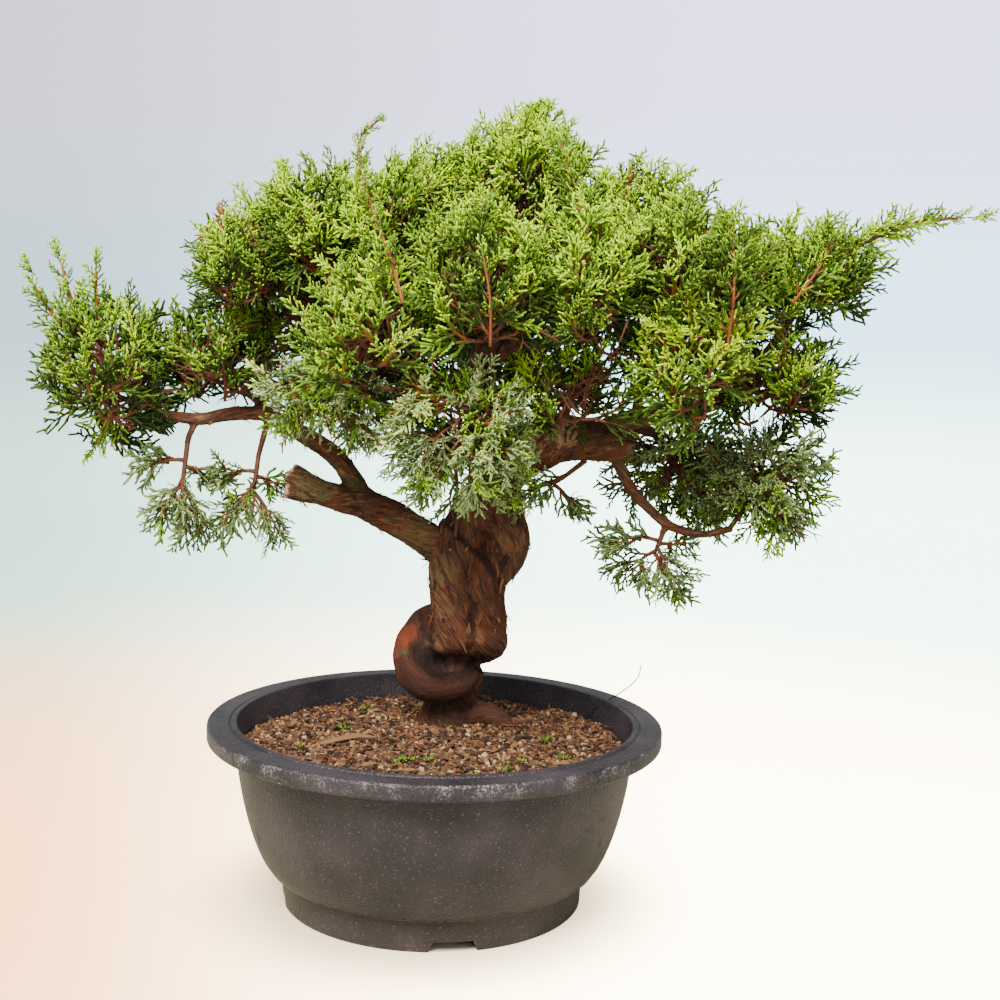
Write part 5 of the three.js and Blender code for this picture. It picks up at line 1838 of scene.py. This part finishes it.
@dataclass(frozen=True)
class BarkMesh:
    """One piece of wood: limbs welded into one skin, with fibres along the grain."""

    name: str
    voxel: float
    furrow: float
    lump: float
    flute: float = 0.5
    crack: float = 0.8
    fibre_width: float = 1.7
    flute_width: float = 6.5
    crack_width: float = 3.2
    gate_width: float = 9.0
    lump_width: float = 13.0
    stretch: float = 0.16
    swirl: float = 0.05
    ring_sides: int = 20
    calm: tuple[float, ...] = ()
    creases: tuple[Crease, ...] = ()

    def build(self, limbs: Sequence[np.ndarray], balls: Sequence[Station],
              material: bpy.types.Material) -> tuple[bpy.types.Object, Skin]:
        """Makes the piece.

        Args:
            limbs: Rows of x, y, z and radius along each limb.
            balls: Knots, as x, y, z and radius.
            material: The bark.

        Returns:
            The linked object, not yet settled, and its skin.
        """
        bm = bmesh.new()
        for rows in limbs:
            self.tube(bm, rows)
        for x, y, z, radius in balls:
            place = Matrix.Translation((x, y, z))
            bmesh.ops.create_icosphere(bm, subdivisions=3, radius=radius, matrix=place)
        piece = from_bmesh(self.name, bm, material)
        remesh = piece.modifiers.new("skin", "REMESH")
        remesh.mode = "VOXEL"
        remesh.voxel_size = self.voxel * MILLIMETRE
        remesh.use_smooth_shade = True
        return piece, self.furrows(baked(piece), limbs)

    def tube(self, bm: bmesh.types.BMesh, rows: np.ndarray) -> None:
        """Adds a closed tube along a limb.

        Args:
            bm: Where to add it.
            rows: Its stations.
        """
        around = [[bm.verts.new(point) for point in ring]
                  for ring in rings(rows[:, :3], rows[:, 3], GRAIN_START, self.ring_sides)]
        for low, high in zip(around, around[1:]):
            for k in range(self.ring_sides):
                after = (k + 1) % self.ring_sides
                bm.faces.new((low[k], low[after], high[after], high[k]))
        bm.faces.new(around[0][::-1])
        bm.faces.new(around[-1])

    def grain_rows(self, limbs: Sequence[np.ndarray]) -> GrainRows:
        """Stations of all limbs, with the way of the grain at each."""
        tangents, sides, runs, calms = [], [], [], []
        for number, rows in enumerate(limbs):
            along = unit(np.gradient(rows[:, :3], axis=0))
            side = unit(np.cross(along[0], GRAIN_START))
            steps = np.linalg.norm(np.diff(rows[:, :3], axis=0), axis=1)
            tangents.append(along)
            for heading in along:
                side = unit(side - heading * (side @ heading))
                sides.append(side)
            runs.append(np.concatenate([[0.0], np.cumsum(steps)]) + LIMB_RUN * number)
            calm = self.calm[number] if number < len(self.calm) else 1.0
            calms.append(np.full(len(rows), calm))
        return GrainRows(np.vstack(limbs), np.vstack(tangents), np.array(sides),
                         np.concatenate(runs), np.concatenate(calms))

    def relief(self, grain: np.ndarray, points: np.ndarray) -> np.ndarray:
        """Fibres, lumps, flutes and cracks of the bark, one row for each point.

        Args:
            grain: Each point in the grain's own directions.
            points: The points themselves.
        """
        found = []
        for seat, spot in zip(map(Vector, grain), map(Vector, points)):
            ridge = 1 - abs(noise.noise(seat / self.fibre_width)) * 2.2
            fine = 1 - abs(noise.noise(seat / (0.45 * self.fibre_width) + Vector((9, 4, 2)))) * 2
            flute = noise.noise(seat / self.flute_width + Vector((3, 8, 5)))
            gate = noise.noise(spot / self.gate_width + Vector((2, 6, 7))) * 3
            line = 1 - abs(noise.noise(seat / self.crack_width + Vector((5, 1, 3)))) * 9
            found.append((0.6 * ridge + 0.4 * fine, noise.noise(spot / self.lump_width), flute,
                          max(0.0, line) * min(1.0, max(0.0, gate + 0.3))))
        return np.array(found)

    def furrows(self, skin: bpy.types.Mesh, limbs: Sequence[np.ndarray]) -> Skin:
        """Moves the skin in and out along the grain and stores the relief and the grain.

        Args:
            skin: The welded skin, in metres.
            limbs: The limbs whose direction the grain follows.

        Returns:
            The moved points with their normals and grain.
        """
        stations = self.grain_rows(limbs)
        tree = point_tree(stations.rows)
        points, outward = (np.empty((len(skin.vertices), 3), np.float32) for _ in range(2))
        skin.vertices.foreach_get("co", points.ravel())
        skin.vertices.foreach_get("normal", outward.ravel())
        points = (points.astype(float) - POT_AXIS) / MILLIMETRE
        outward = outward.astype(float)
        nearest = np.array([self.owner(tree, stations.rows, point) for point in points])
        rows, along, side, run, calm = (values[nearest] for values in stations)
        radius = rows[:, 3]
        offset = points - rows[:, :3]
        length = run + np.einsum("ij,ij->i", offset, along)
        turn = np.arctan2(np.einsum("ij,ij->i", offset, np.cross(along, side)),
                          np.einsum("ij,ij->i", offset, side)) + self.swirl * length
        grain = np.column_stack([radius * np.cos(turn), radius * np.sin(turn),
                                 self.stretch * length])
        relief, lumps, flutes, cracks = self.relief(grain, points).T
        scale = np.clip(radius / 8.0, 0.25, 1.0)
        move = (calm * (self.furrow * (np.clip(relief, 0, 1) - 0.72) + self.flute * flutes
                        - self.crack * cracks) + self.lump * lumps) * scale
        # The stored relief drives the bark's painted shade: lowering it in cracks and creases
        # darkens them.
        relief = np.clip(relief * (0.35 + 0.65 * calm) + 0.5 * (1 - calm) - cracks * calm, 0, 1)
        for crease in self.creases:
            moves, deeps = crease.carve(points, outward)
            move += moves
            relief = np.clip(relief - 0.8 * deeps, 0, 1)
        points += outward * move[:, None]
        skin.vertices.foreach_set("co", to_row(points).astype(np.float32).ravel())
        for name, kind, key, values in (("bark_relief", "FLOAT", "value", relief),
                                        ("bark_fibre", "FLOAT", "value", calm),
                                        ("bark_grain", "FLOAT_VECTOR", "vector",
                                         grain * MILLIMETRE)):
            mark = skin.attributes.new(name, kind, "POINT")
            mark.data.foreach_set(key, values.astype(np.float32).ravel())
        skin.update()
        return Skin(points, outward, along, radius, calm)

    @staticmethod
    def owner(tree: kdtree.KDTree, rows: np.ndarray, point: np.ndarray) -> int:
        """Sample whose limb's skin is nearest to a point."""
        found = tree.find_n(Vector(point), 6)
        return min(found, key=lambda hit: hit[2] - rows[hit[1], 3])[1]


class Strips(Bundle):
    """Flat closed strips."""

    def add(self, path: np.ndarray, across: np.ndarray, widths: np.ndarray, thickness: float,
            kind: int) -> None:
        """Adds one strip.

        Args:
            path: Points along its middle.
            across: Direction across it.
            widths: Half its width at each point.
            thickness: Half its thickness.
            kind: Its material slot.
        """
        along = unit(np.gradient(path, axis=0))
        side = unit(across - along * (along @ across)[:, None])
        up = np.cross(along, side)
        corners = ((1, 1), (-1, 1), (-1, -1), (1, -1))
        rings = np.stack([path + side * (widths * wide)[:, None] + up * thickness * high
                          for wide, high in corners], axis=1)
        faces = [(0, 2, 1), (0, 3, 2)]
        for ring in range(len(path) - 1):
            for k in range(4):
                low, after = 4 * ring + k, 4 * ring + (k + 1) % 4
                faces += [(low, after, after + 4), (low, after + 4, low + 4)]
        top = 4 * (len(path) - 1)
        faces += [(top, top + 1, top + 2), (top, top + 2, top + 3)]
        self.keep(rings.reshape(-1, 3), np.array(faces), np.full(len(faces), kind))


@dataclass(frozen=True)
class Shreds:
    """Strips of bark that have come loose at one end."""

    shortest: float = 3.0
    longest: float = 10.0
    half_width: float = 0.8
    half_thickness: float = 0.14
    lift: float = 2.2
    least_radius: float = 3.4

    def build(self, skins: Sequence[tuple[Skin, int]], materials: Sequence[bpy.types.Material],
              ) -> bpy.types.Object:
        """Makes the piece.

        Args:
            skins: The wood's skins, each with its number of strips.
            materials: Materials of the strips, which are dealt out in turn.

        Returns:
            The linked object, not yet settled.
        """
        draw = seeded(SHRED_SEED)
        strips = Strips()
        share = np.linspace(0, 1, 5)
        for skin, count in skins:
            thick = np.flatnonzero((skin.radii > self.least_radius) & (skin.rough > 0.4))
            for number in range(count):
                place = thick[int(draw() * len(thick))]
                out, grain = skin.normals[place], skin.along[place]
                across = unit(np.cross(out, grain))
                heading = unit(grain * (1 if draw() < 0.5 else -1) + across * strayed(draw, 0.7))
                length = self.shortest + (self.longest - self.shortest) * draw() ** 1.8
                lift = self.lift * (0.3 + draw()) * length / self.longest
                path = (skin.points[place] + np.outer(share * length, heading)
                        + np.outer(lift * share ** 2 * 1.6 - 0.25 * (1 - share), out))
                widths = self.half_width * (0.5 + draw()) * (1 - 0.65 * share ** 2)
                strips.add(path, across, widths, self.half_thickness, number % len(materials))
        return strips.piece("bark_shreds", materials, smooth=False)


TRUNK_CALM = (0.9, 0.2, 1.0, 1.0, 1.0, 0.5)
FRONT_DEPTH = 24.0
TRUNK_CREASES = (
    Crease(((0, 205), (8, 196), (16, 188.5), (25, 180), (31, 171), (34, 164)), 2.6, 1.5, 2.0, 8),
    Crease(((19, 158), (17.5, 150), (18.5, 141), (17, 134), (12, 129)), 1.1, 1.8, 0.8),
    Crease(((24, 122.5), (14, 121), (5, 121.5), (-4, 125), (-11, 131)), 6.0, 6.5, 0.0),
    Crease(((-3, 137), (-7, 142), (-9, 148), (-14, 153)), 1.2, 1.4, 1.0),
    Crease(((22, 196), (30, 190), (35, 181)), 0.9, 1.1),
    Crease(((-3, 186), (3, 172), (8, 158)), 0.7, 0.9),
    Crease(((6, 190), (13, 178), (16, 168)), 0.6, 0.8),
)


@dataclass(frozen=True)
class Wood:
    """Trunk with its coil, and the boughs."""

    step: float = 2.0
    coil_centre: Point = (2.5, 25, 127)
    coil_radius: float = 14.2
    coil_thickness: float = 12.3
    coil_sway: float = 11.0
    coil_front: float = math.radians(-135)
    coil_start: float = -30
    coil_end: float = -340
    ground: float = 84.5
    hollow_top: float = 138.0
    hollow_side: float = -12.0

    def coil(self) -> np.ndarray:
        """Stations of the coil, as rows of x, y, z and radius."""
        angles = np.radians(np.linspace(self.coil_start, self.coil_end, 44))
        x, y, z = self.coil_centre
        return np.column_stack([
            x + self.coil_radius * np.cos(angles),
            y - self.coil_sway * np.cos(angles - self.coil_front),
            z + self.coil_radius * np.sin(angles),
            np.full(len(angles), self.coil_thickness)])

    def build(self, material: bpy.types.Material, shreds: Sequence[bpy.types.Material]) -> None:
        """Makes the trunk piece, the boughs piece and the loose strips of bark.

        Args:
            material: The bark.
            shreds: Materials of the loose strips.
        """
        step = self.step
        limbs = [sampled(FOOT, step), self.coil(),
                 sampled(LEFT_STRAND, step), sampled(RIGHT_STRAND, step),
                 sampled(LEADER, step, entry_share(LEADER, "trunk")),
                 sampled(SURFACE_ROOT, step)]
        bark = BarkMesh("trunk_bark", voxel=0.65, furrow=0.75, lump=1.4, calm=TRUNK_CALM,
                        creases=TRUNK_CREASES)
        trunk, skin = bark.build(limbs, (NOSE, EYE), material)
        self.cut_at_soil(trunk)
        settle(trunk, ["trunk"])
        boughs = [sampled(bough.path, step, entry_share(bough.path, bough.name))
                  for bough in BOUGHS]
        boughs += [sampled(bough.fork, step) for bough in BOUGHS if bough.fork]
        bark = BarkMesh("bough_bark", voxel=0.78, furrow=0.7, lump=1.1)
        piece, outer = bark.build(boughs, (), material)
        settle(piece, [bough.name for bough in BOUGHS])
        x, _, z = skin.points.T
        above = (z > self.ground + 4) & ~((z < self.hollow_top) & (x > self.hollow_side))
        trunk_skin = Skin(*(values[above] for values in skin))
        settle(Shreds().build(((trunk_skin, 220), (outer, 190)), shreds))

    def cut_at_soil(self, trunk: bpy.types.Object) -> None:
        """Cuts off what would stand below the soil and closes the cut."""
        bm = bmesh.new()
        bm.from_mesh(trunk.data)
        level = Vector((0, 0, self.ground * MILLIMETRE))
        cut = bmesh.ops.bisect_plane(bm, geom=[*bm.verts, *bm.edges, *bm.faces],
                                     plane_co=level, plane_no=(0, 0, 1), clear_inner=True)
        rim = [item for item in cut["geom_cut"] if isinstance(item, bmesh.types.BMEdge)]
        bmesh.ops.holes_fill(bm, edges=rim)
        bm.to_mesh(trunk.data)
        bm.free()


# Pot and soil


ROUND_STEPS = 96
GRAIN_SEED = 4001
COVER_SEED = 5001
CIRCLE = 6.283


@dataclass(frozen=True)
class Pot:
    """Round plastic pot with a thick lip, a bellied wall and a notched foot ring."""

    rim_radius: float = 120
    rim_height: float = 96.5
    lip_depth: float = 8.5
    flange_width: float = 15.5
    lip_round: float = 1.5
    bead_width: float = 1.4
    bead_height: float = 0.8
    belly_top: float = 105
    belly_foot: float = 84
    belly_power: float = 1.6
    foot_radius: float = 79.5
    foot_height: float = 18
    foot_ring: float = 5
    floor_low: float = 6
    floor_high: float = 9
    wall: float = 2.8
    crease: float = 2
    notch_turn: float = math.radians(8)
    notch_height: float = 5.5
    notch_low: float = 12.5
    notch_high: float = 10.0
    notch_depth: float = 10.0
    sharpest: float = math.radians(38)
    steps: int = 180

    def belly(self, z: float) -> float:
        """Outer radius of the wall at a height."""
        rise = (z - self.foot_height) / (self.rim_height - self.lip_depth - self.foot_height)
        rise = min(1.0, max(0.0, rise))
        swell = (1 - (1 - rise) ** self.belly_power) ** (1 / self.belly_power)
        return self.belly_foot + (self.belly_top - self.belly_foot) * swell

    def profile(self) -> list[tuple[float, float]]:
        """Radius and height of each corner, from the underside out and round to the floor."""
        under = self.rim_height - self.lip_depth
        mouth = self.rim_radius - self.flange_width
        heights = np.linspace(self.foot_height + self.crease, under - 0.6, 14)
        top, foot, inner = self.rim_height, self.foot_radius, self.foot_radius - self.foot_ring
        lip, bead, outer = self.lip_round, self.bead_width, self.rim_radius - self.lip_round
        return [
            (0.0, self.floor_low), (inner, self.floor_low), (inner, 0.6), (inner + 0.6, 0.0),
            (foot - 0.8, 0.0), (foot, 0.8), (foot + 0.7, self.foot_height - self.crease - 1),
            (foot + 1.6, self.foot_height - 0.8),
            (self.belly(self.foot_height + 1) - 0.6, self.foot_height + 0.4),
            *((self.belly(z), float(z)) for z in heights),
            (self.belly_top + 0.9, under), (self.rim_radius - 1.6, under),
            *arc((outer, under + lip), (lip, lip), (-60, -30, 0)),
            *arc((outer, top - lip), (lip, lip), (0, 30, 60, 90)),
            (mouth + 4.2, top), (mouth + 3.9, top - 0.5), (mouth + 3.3, top - 0.5),
            (mouth + 3.0, top),
            *arc((mouth + bead, top), (bead, self.bead_height), (20, 60, 90, 120, 160)),
            (mouth - 0.1, top - 0.6), (mouth - 0.6, under),
            *((self.belly(z) - self.wall, float(z)) for z in heights[::-1][1:]),
            (foot - self.wall, self.foot_height - self.crease),
            (foot - self.wall - 1, self.floor_high), (0.0, self.floor_high)]

    def build(self, material: bpy.types.Material) -> None:
        """Makes the pot piece.

        Args:
            material: Its plastic.
        """
        bm = bmesh.new()
        lathe(bm, self.profile(), self.steps)
        pot = from_bmesh("pot_body", bm, material)
        cutter = self.notches(material)
        cut = pot.modifiers.new("drain_notches", "BOOLEAN")
        cut.operation = "DIFFERENCE"
        cut.solver = "EXACT"
        cut.object = cutter
        shape = baked(pot)
        bpy.data.objects.remove(cutter)
        shape.set_sharp_from_angle(angle=self.sharpest)
        settle(pot, ["pot"])

    def notches(self, material: bpy.types.Material) -> bpy.types.Object:
        """Four wedges that cut the drain notches."""
        bm = bmesh.new()
        low, high = self.notch_low, self.notch_high
        corners = ((low, -1.0), (high, self.notch_height), (-high, self.notch_height), (-low, -1.0))
        for number in range(4):
            turn = Matrix.Rotation(self.notch_turn + number * math.pi / 2, 3, "Z")
            near, far = ([bm.verts.new(turn @ Vector((x, depth - self.foot_radius, z)))
                          for x, z in corners] for depth in (-self.notch_depth, self.notch_depth))
            bm.faces.new(near)
            bm.faces.new(far[::-1])
            for k in range(4):
                after = (k + 1) % 4
                bm.faces.new((near[k], far[k], far[after], near[after]))
        bmesh.ops.recalc_face_normals(bm, faces=bm.faces)
        return from_bmesh("notch_cutter", bm, material)


@dataclass(frozen=True)
class GrainSort:
    """One sort of soil grain: its tone and how common it is."""

    name: str
    colour: Colour
    share: float


@dataclass(frozen=True)
class Soil:
    """Bed of granular soil: a domed top under thousands of separate grains."""

    pot: Pot
    height: float = 86.0
    edge_drop: float = 2.0
    drop_radius: float = 100.0
    level_spot: tuple[float, float] = (14.0, 34.0)
    level_radius: float = 30.0
    wave: float = 0.8
    wave_length: float = 9.0
    sunk: float = 0.7
    clearance: float = 0.5
    bare_rim: float = 1.2
    turn: float = 6.28
    grains: int = 6800
    smallest: float = 0.75
    largest: float = 1.9
    sorts: tuple[GrainSort, ...] = (
        GrainSort("grain_brown", srgb(92, 62, 38), 0.34),
        GrainSort("grain_tan", srgb(130, 98, 66), 0.22),
        GrainSort("grain_dark", srgb(44, 27, 16), 0.25),
        GrainSort("grain_red", srgb(106, 62, 34), 0.11),
        GrainSort("grain_pale", srgb(172, 140, 104), 0.08))

    def edge(self, z: float) -> float:
        """Radius of the bed at a height."""
        return self.pot.belly(z) - self.pot.wall - self.clearance

    def level(self, x: float, y: float) -> float:
        """Height of the soil's surface: flat round the trunk's foot, uneven farther out."""
        drop = self.edge_drop * (math.hypot(x, y) / self.drop_radius) ** 4
        away = math.hypot(x - self.level_spot[0], y - self.level_spot[1])
        share = min(1.0, max(0.0, away / self.level_radius - 1))
        share *= share * (3 - 2 * share)
        wave = (math.sin(x / self.wave_length + 1) * math.cos(y / self.wave_length)
                + math.sin((x - y) / (2 * self.wave_length)))
        return self.height - share * (drop - self.wave * wave)

    def build(self, bed: bpy.types.Material, grains: Sequence[bpy.types.Material]) -> None:
        """Makes the bed and its grains.

        Args:
            bed: Material of the bed.
            grains: One material for each sort of grain.
        """
        pot = self.pot
        bm = bmesh.new()
        heights = np.linspace(self.height - 5, pot.foot_height + 2, 6)
        profile = [(float(r), self.height) for r in np.linspace(0, self.edge(self.height), 30)]
        profile += [(self.edge(z), float(z)) for z in heights]
        profile += [(pot.foot_radius - pot.wall - 1 - self.clearance, pot.floor_high + 0.3),
                    (0.0, pot.floor_high + 0.3)]
        lathe(bm, profile, ROUND_STEPS)
        for vert in bm.verts:
            if vert.co.z > self.height - 0.1:
                vert.co.z = self.level(vert.co.x, vert.co.y) - self.sunk
        settle(from_bmesh("soil_bed", bm, bed), ["soil"])
        self.scatter(grains)

    def scatter(self, materials: Sequence[bpy.types.Material]) -> None:
        """Strews the grains over the bed.

        Args:
            materials: One material for each sort of grain.
        """
        draw = seeded(GRAIN_SEED)
        bm = bmesh.new()
        bmesh.ops.create_icosphere(bm, subdivisions=1, radius=1.0)
        base = np.array([vert.co for vert in bm.verts])
        corners = np.array([[vert.index for vert in face.verts] for face in bm.faces])
        bm.free()
        edge = self.edge(self.height) - self.bare_rim
        bundle = Bundle()
        limits = np.cumsum([sort.share for sort in self.sorts])
        for number in range(self.grains):
            radius = edge * math.sqrt((number + 0.5) / self.grains)
            turn = number * GOLDEN_TURN + strayed(draw, 0.9)
            x, y = radius * math.cos(turn), radius * math.sin(turn)
            size = self.smallest + (self.largest - self.smallest) * draw() ** 2.2
            lumps = 1 + 0.8 * (np.array([draw() for _ in range(len(base))]) - 0.5)
            shape = base * lumps[:, None] * size * np.array([1.1, 0.6 + 0.4 * draw(), 0.7])
            spin = np.array(Matrix.Rotation(self.turn * draw(), 3, Vector((draw(), draw(), 1))))
            z = self.level(x, y) - self.sunk + size * (0.3 + 0.3 * draw())
            sort = min(int(np.searchsorted(limits, draw())), len(self.sorts) - 1)
            bundle.keep(shape @ spin.T + (x, y, z), corners, np.full(len(corners), sort))
        settle(bundle.piece("soil_grains", materials, smooth=False))


@dataclass(frozen=True)
class SoilCover:
    """What grows and lies on the soil: weeds, flakes of bark, litter and a dry stalk."""

    soil: Soil
    weeds: tuple[Point, ...] = (
        (-50, 12.9, 3.4), (-12.5, -46.3, 4.2), (-2.5, -45.6, 3.2), (35.1, -52.2, 3.6),
        (58.3, -4.2, 3.2), (-18, -50, 2.6), (66, -30, 3), (-70, -20, 2.4), (20, -64, 2.2),
        (44, -38, 2.4), (30, 62, 3), (-40, 55, 3.2))
    blades: int = 22
    flakes: tuple[tuple[float, float, float, float, float], ...] = (
        (-60, -16, 35, 30, 2.2), (-46, -3, 12, 14, 1.8), (-66, 2, -30, 11, 1.4),
        (40, -20, 70, 10, 1.5), (-20, -66, 15, 12, 1.2), (72, 18, 100, 12, 1.4),
        (-36, -58, 40, 9, 1.6), (8, -72, 160, 8, 1.3), (60, -48, 20, 9, 1.5),
        (-78, 20, 80, 9, 1.3), (22, -30, 120, 8, 1.2))
    needles: int = 900
    stalk: tuple[Station, ...] = (
        (79, 50, 85, 0.5), (92, 50, 93, 0.46), (104, 48, 101, 0.4), (113, 46, 110, 0.36),
        (115, 45, 119, 0.3))

    def ground(self, x: float, y: float) -> np.ndarray:
        """Point on the soil's surface."""
        return np.array([x, y, self.soil.level(x, y)])

    def build(self, greens: Sequence[bpy.types.Material],
              browns: Sequence[bpy.types.Material]) -> None:
        """Makes the weeds, the litter and the stalk.

        Args:
            greens: Materials of the weeds.
            browns: Materials of litter, flakes and stalk.
        """
        draw = seeded(COVER_SEED)
        weeds = Cords(3)
        for x, y, spread in self.weeds:
            for blade in range(self.blades):
                turn = CIRCLE * draw()
                out = spread * draw()
                foot = self.ground(x + out * math.cos(turn), y + out * math.sin(turn))
                lean = unit(np.array([math.cos(turn), math.sin(turn), 0.7 + draw()]))
                length = spread * (0.5 + 0.7 * draw())
                path = np.array([foot, foot + lean * length * 0.6,
                                 foot + lean * length + (0, 0, 0.3)])
                weeds.add(path, (0.34, 0.46), (blade % len(greens),))
        settle(weeds.piece("soil_weeds", greens))
        litter = Strips()
        for x, y, degrees, length, width in self.flakes:
            turn = math.radians(degrees)
            heading = np.array([math.cos(turn), math.sin(turn)])
            places = np.linspace(0, length, 6)
            path = np.array([self.ground(x + run * heading[0], y + run * heading[1])
                             for run in places])
            path[:, 2] += 1.0 + 0.9 * np.sin(np.linspace(0, math.pi, 6)) * draw()
            widths = width * np.array([0.5, 1, 0.9, 1, 0.8, 0.3])
            litter.add(path, np.array([-heading[1], heading[0], 0.2]), widths, 0.3, 0)
        edge = self.soil.pot.belly(self.soil.height) - 6
        for number in range(self.needles):
            radius, turn, heading = edge * math.sqrt(draw()), CIRCLE * draw(), CIRCLE * draw()
            foot = self.ground(radius * math.cos(turn), radius * math.sin(turn))
            foot[2] += 0.5 + 0.7 * draw()
            length = 2.5 + 5 * draw()
            lean = np.array([math.cos(heading), math.sin(heading), 0.35 * (draw() - 0.3)])
            path = foot + np.outer(np.linspace(0, length, 3), lean)
            litter.add(path, np.array([-lean[1], lean[0], 0]), np.full(3, 0.28 + 0.3 * draw()),
                       0.2, number % len(browns))
        settle(litter.piece("soil_litter", browns, smooth=False))
        stalk = Cords(5)
        rows = sampled(self.stalk, 3.0)
        stalk.add(rows[:, :3], rows[:-1, 3], (0,))
        settle(stalk.piece("dry_stalk", browns[-1:]))


# Studio


@dataclass(frozen=True)
class Studio:
    """Pale seamless surround, soft lights and the camera."""

    floor_radius: float = 1.5
    wall_height: float = 2.2
    curve: float = 0.6
    eye: Point = (0.0, -0.8, 0.305)
    pan: float = 0.0386
    pitch: float = 0.1127
    roll: float = -0.0280
    lens: float = 55.3
    merge: float = 0.0001

    def surround(self, material: bpy.types.Material) -> None:
        """Makes the floor that curves up into a round wall."""
        bm = bmesh.new()
        profile = [(0.0, 0.0), (0.3, 0.0), (self.floor_radius, 0.0),
                   *arc((self.floor_radius, self.curve), (self.curve, self.curve),
                        np.linspace(-90, 0, 9)[1:]),
                   (self.floor_radius + self.curve, self.wall_height)]
        lathe(bm, profile, ROUND_STEPS, merge=self.merge)
        bmesh.ops.reverse_faces(bm, faces=bm.faces)
        from_bmesh("backdrop", bm, material, scale=1.0, origin=np.zeros(3))

    def light(self, name: str, place: Point, size: float, power: float,
              colour: Colour = (1.0, 1.0, 1.0)) -> None:
        """Adds one soft square light that faces the tree."""
        lamp = bpy.data.lights.new(name, "AREA")
        lamp.size = size
        lamp.energy = power
        lamp.color = colour
        holder = bpy.data.objects.new(name, lamp)
        bpy.context.scene.collection.objects.link(holder)
        holder.location = place
        aim = Vector((float(POT_AXIS[0]), float(POT_AXIS[1]), 0.22)) - Vector(place)
        holder.rotation_euler = aim.to_track_quat("-Z", "Y").to_euler()

    def lights(self) -> None:
        """Adds the lights and the pale world."""
        self.light("key_light", (-0.5, -1.25, 1.45), 0.8, 102, (1.0, 0.98, 0.93))
        self.light("fill_light", (0.7, -1.7, 0.75), 1.5, 17, (0.98, 0.98, 1.0))
        self.light("top_light", (0.15, 0.15, 2.0), 1.3, 24)
        world = bpy.data.worlds.new("studio_air")
        world.use_nodes = True
        air = world.node_tree.nodes["Background"]
        air.inputs["Color"].default_value = (0.97, 0.98, 1.0, 1.0)
        air.inputs["Strength"].default_value = 0.4
        bpy.context.scene.world = world

    def camera(self) -> None:
        """Adds the camera, set as the photograph was taken."""
        data = bpy.data.cameras.new("front_camera")
        data.lens = self.lens
        data.sensor_width = 36.0
        data.clip_end = 20.0
        holder = bpy.data.objects.new("front_camera", data)
        bpy.context.scene.collection.objects.link(holder)
        level = Vector((math.sin(self.pan), math.cos(self.pan), 0))
        right = Vector((math.cos(self.pan), -math.sin(self.pan), 0))
        up = Vector(UP)
        ahead = level * math.cos(self.pitch) - up * math.sin(self.pitch)
        top = level * math.sin(self.pitch) + up * math.cos(self.pitch)
        x = right * math.cos(self.roll) - top * math.sin(self.roll)
        y = right * math.sin(self.roll) + top * math.cos(self.roll)
        turn = Matrix((x, y, -ahead)).transposed().to_4x4()
        place = Vector(self.eye) + Vector(POT_AXIS)
        holder.matrix_world = Matrix.Translation(place) @ turn
        bpy.context.scene.camera = holder


def main() -> None:
    """Builds every piece in order."""
    logging.basicConfig(level=logging.INFO, format="%(message)s")
    effects = Effects()

    def plain(name: str, colour: Colour, roughness: float, **sizes: float) -> bpy.types.Material:
        """A material of one plain colour."""
        return PlainFinish(name, colour, roughness, **sizes).build(effects)

    bark = BarkFinish().build(effects)
    leaves = [plain(f"leaf_{tone.name.lower()}", tone.value, 0.6, gloss=0.06) for tone in TONES]
    pot = Pot()
    pot.build(PotFinish().build(effects))
    soil = Soil(pot)
    soil.build(SoilFinish().build(effects), [
        plain(sort.name, sort.colour, 0.9, grain=900, strength=0.5) for sort in soil.sorts])
    shreds = [plain(f"shred_{name}", colour, 0.85, grain=900, strength=0.5) for name, colour in (
        ("tan", srgb(122, 88, 56)), ("brown", srgb(80, 48, 30)),
        ("red", srgb(92, 48, 26)), ("dark", srgb(40, 24, 15)))]
    Wood().build(bark, shreds)
    weeds = [leaves[TONES.index(tone)] for tone in (Tone.GRASS, Tone.LEAF, Tone.DEEP)]
    SoilCover(soil).build(weeds, shreds)
    Crown(GrowthSizes()).build(leaves, [
        plain("twig_bark", srgb(88, 50, 30), 0.8, grain=900, strength=0.5),
        plain("young_twig_bark", srgb(124, 60, 24), 0.7, grain=900)])
    studio = Studio()
    studio.surround(BackdropFinish().build(effects))
    studio.lights()
    studio.camera()


if __name__ == "__main__":
    main()
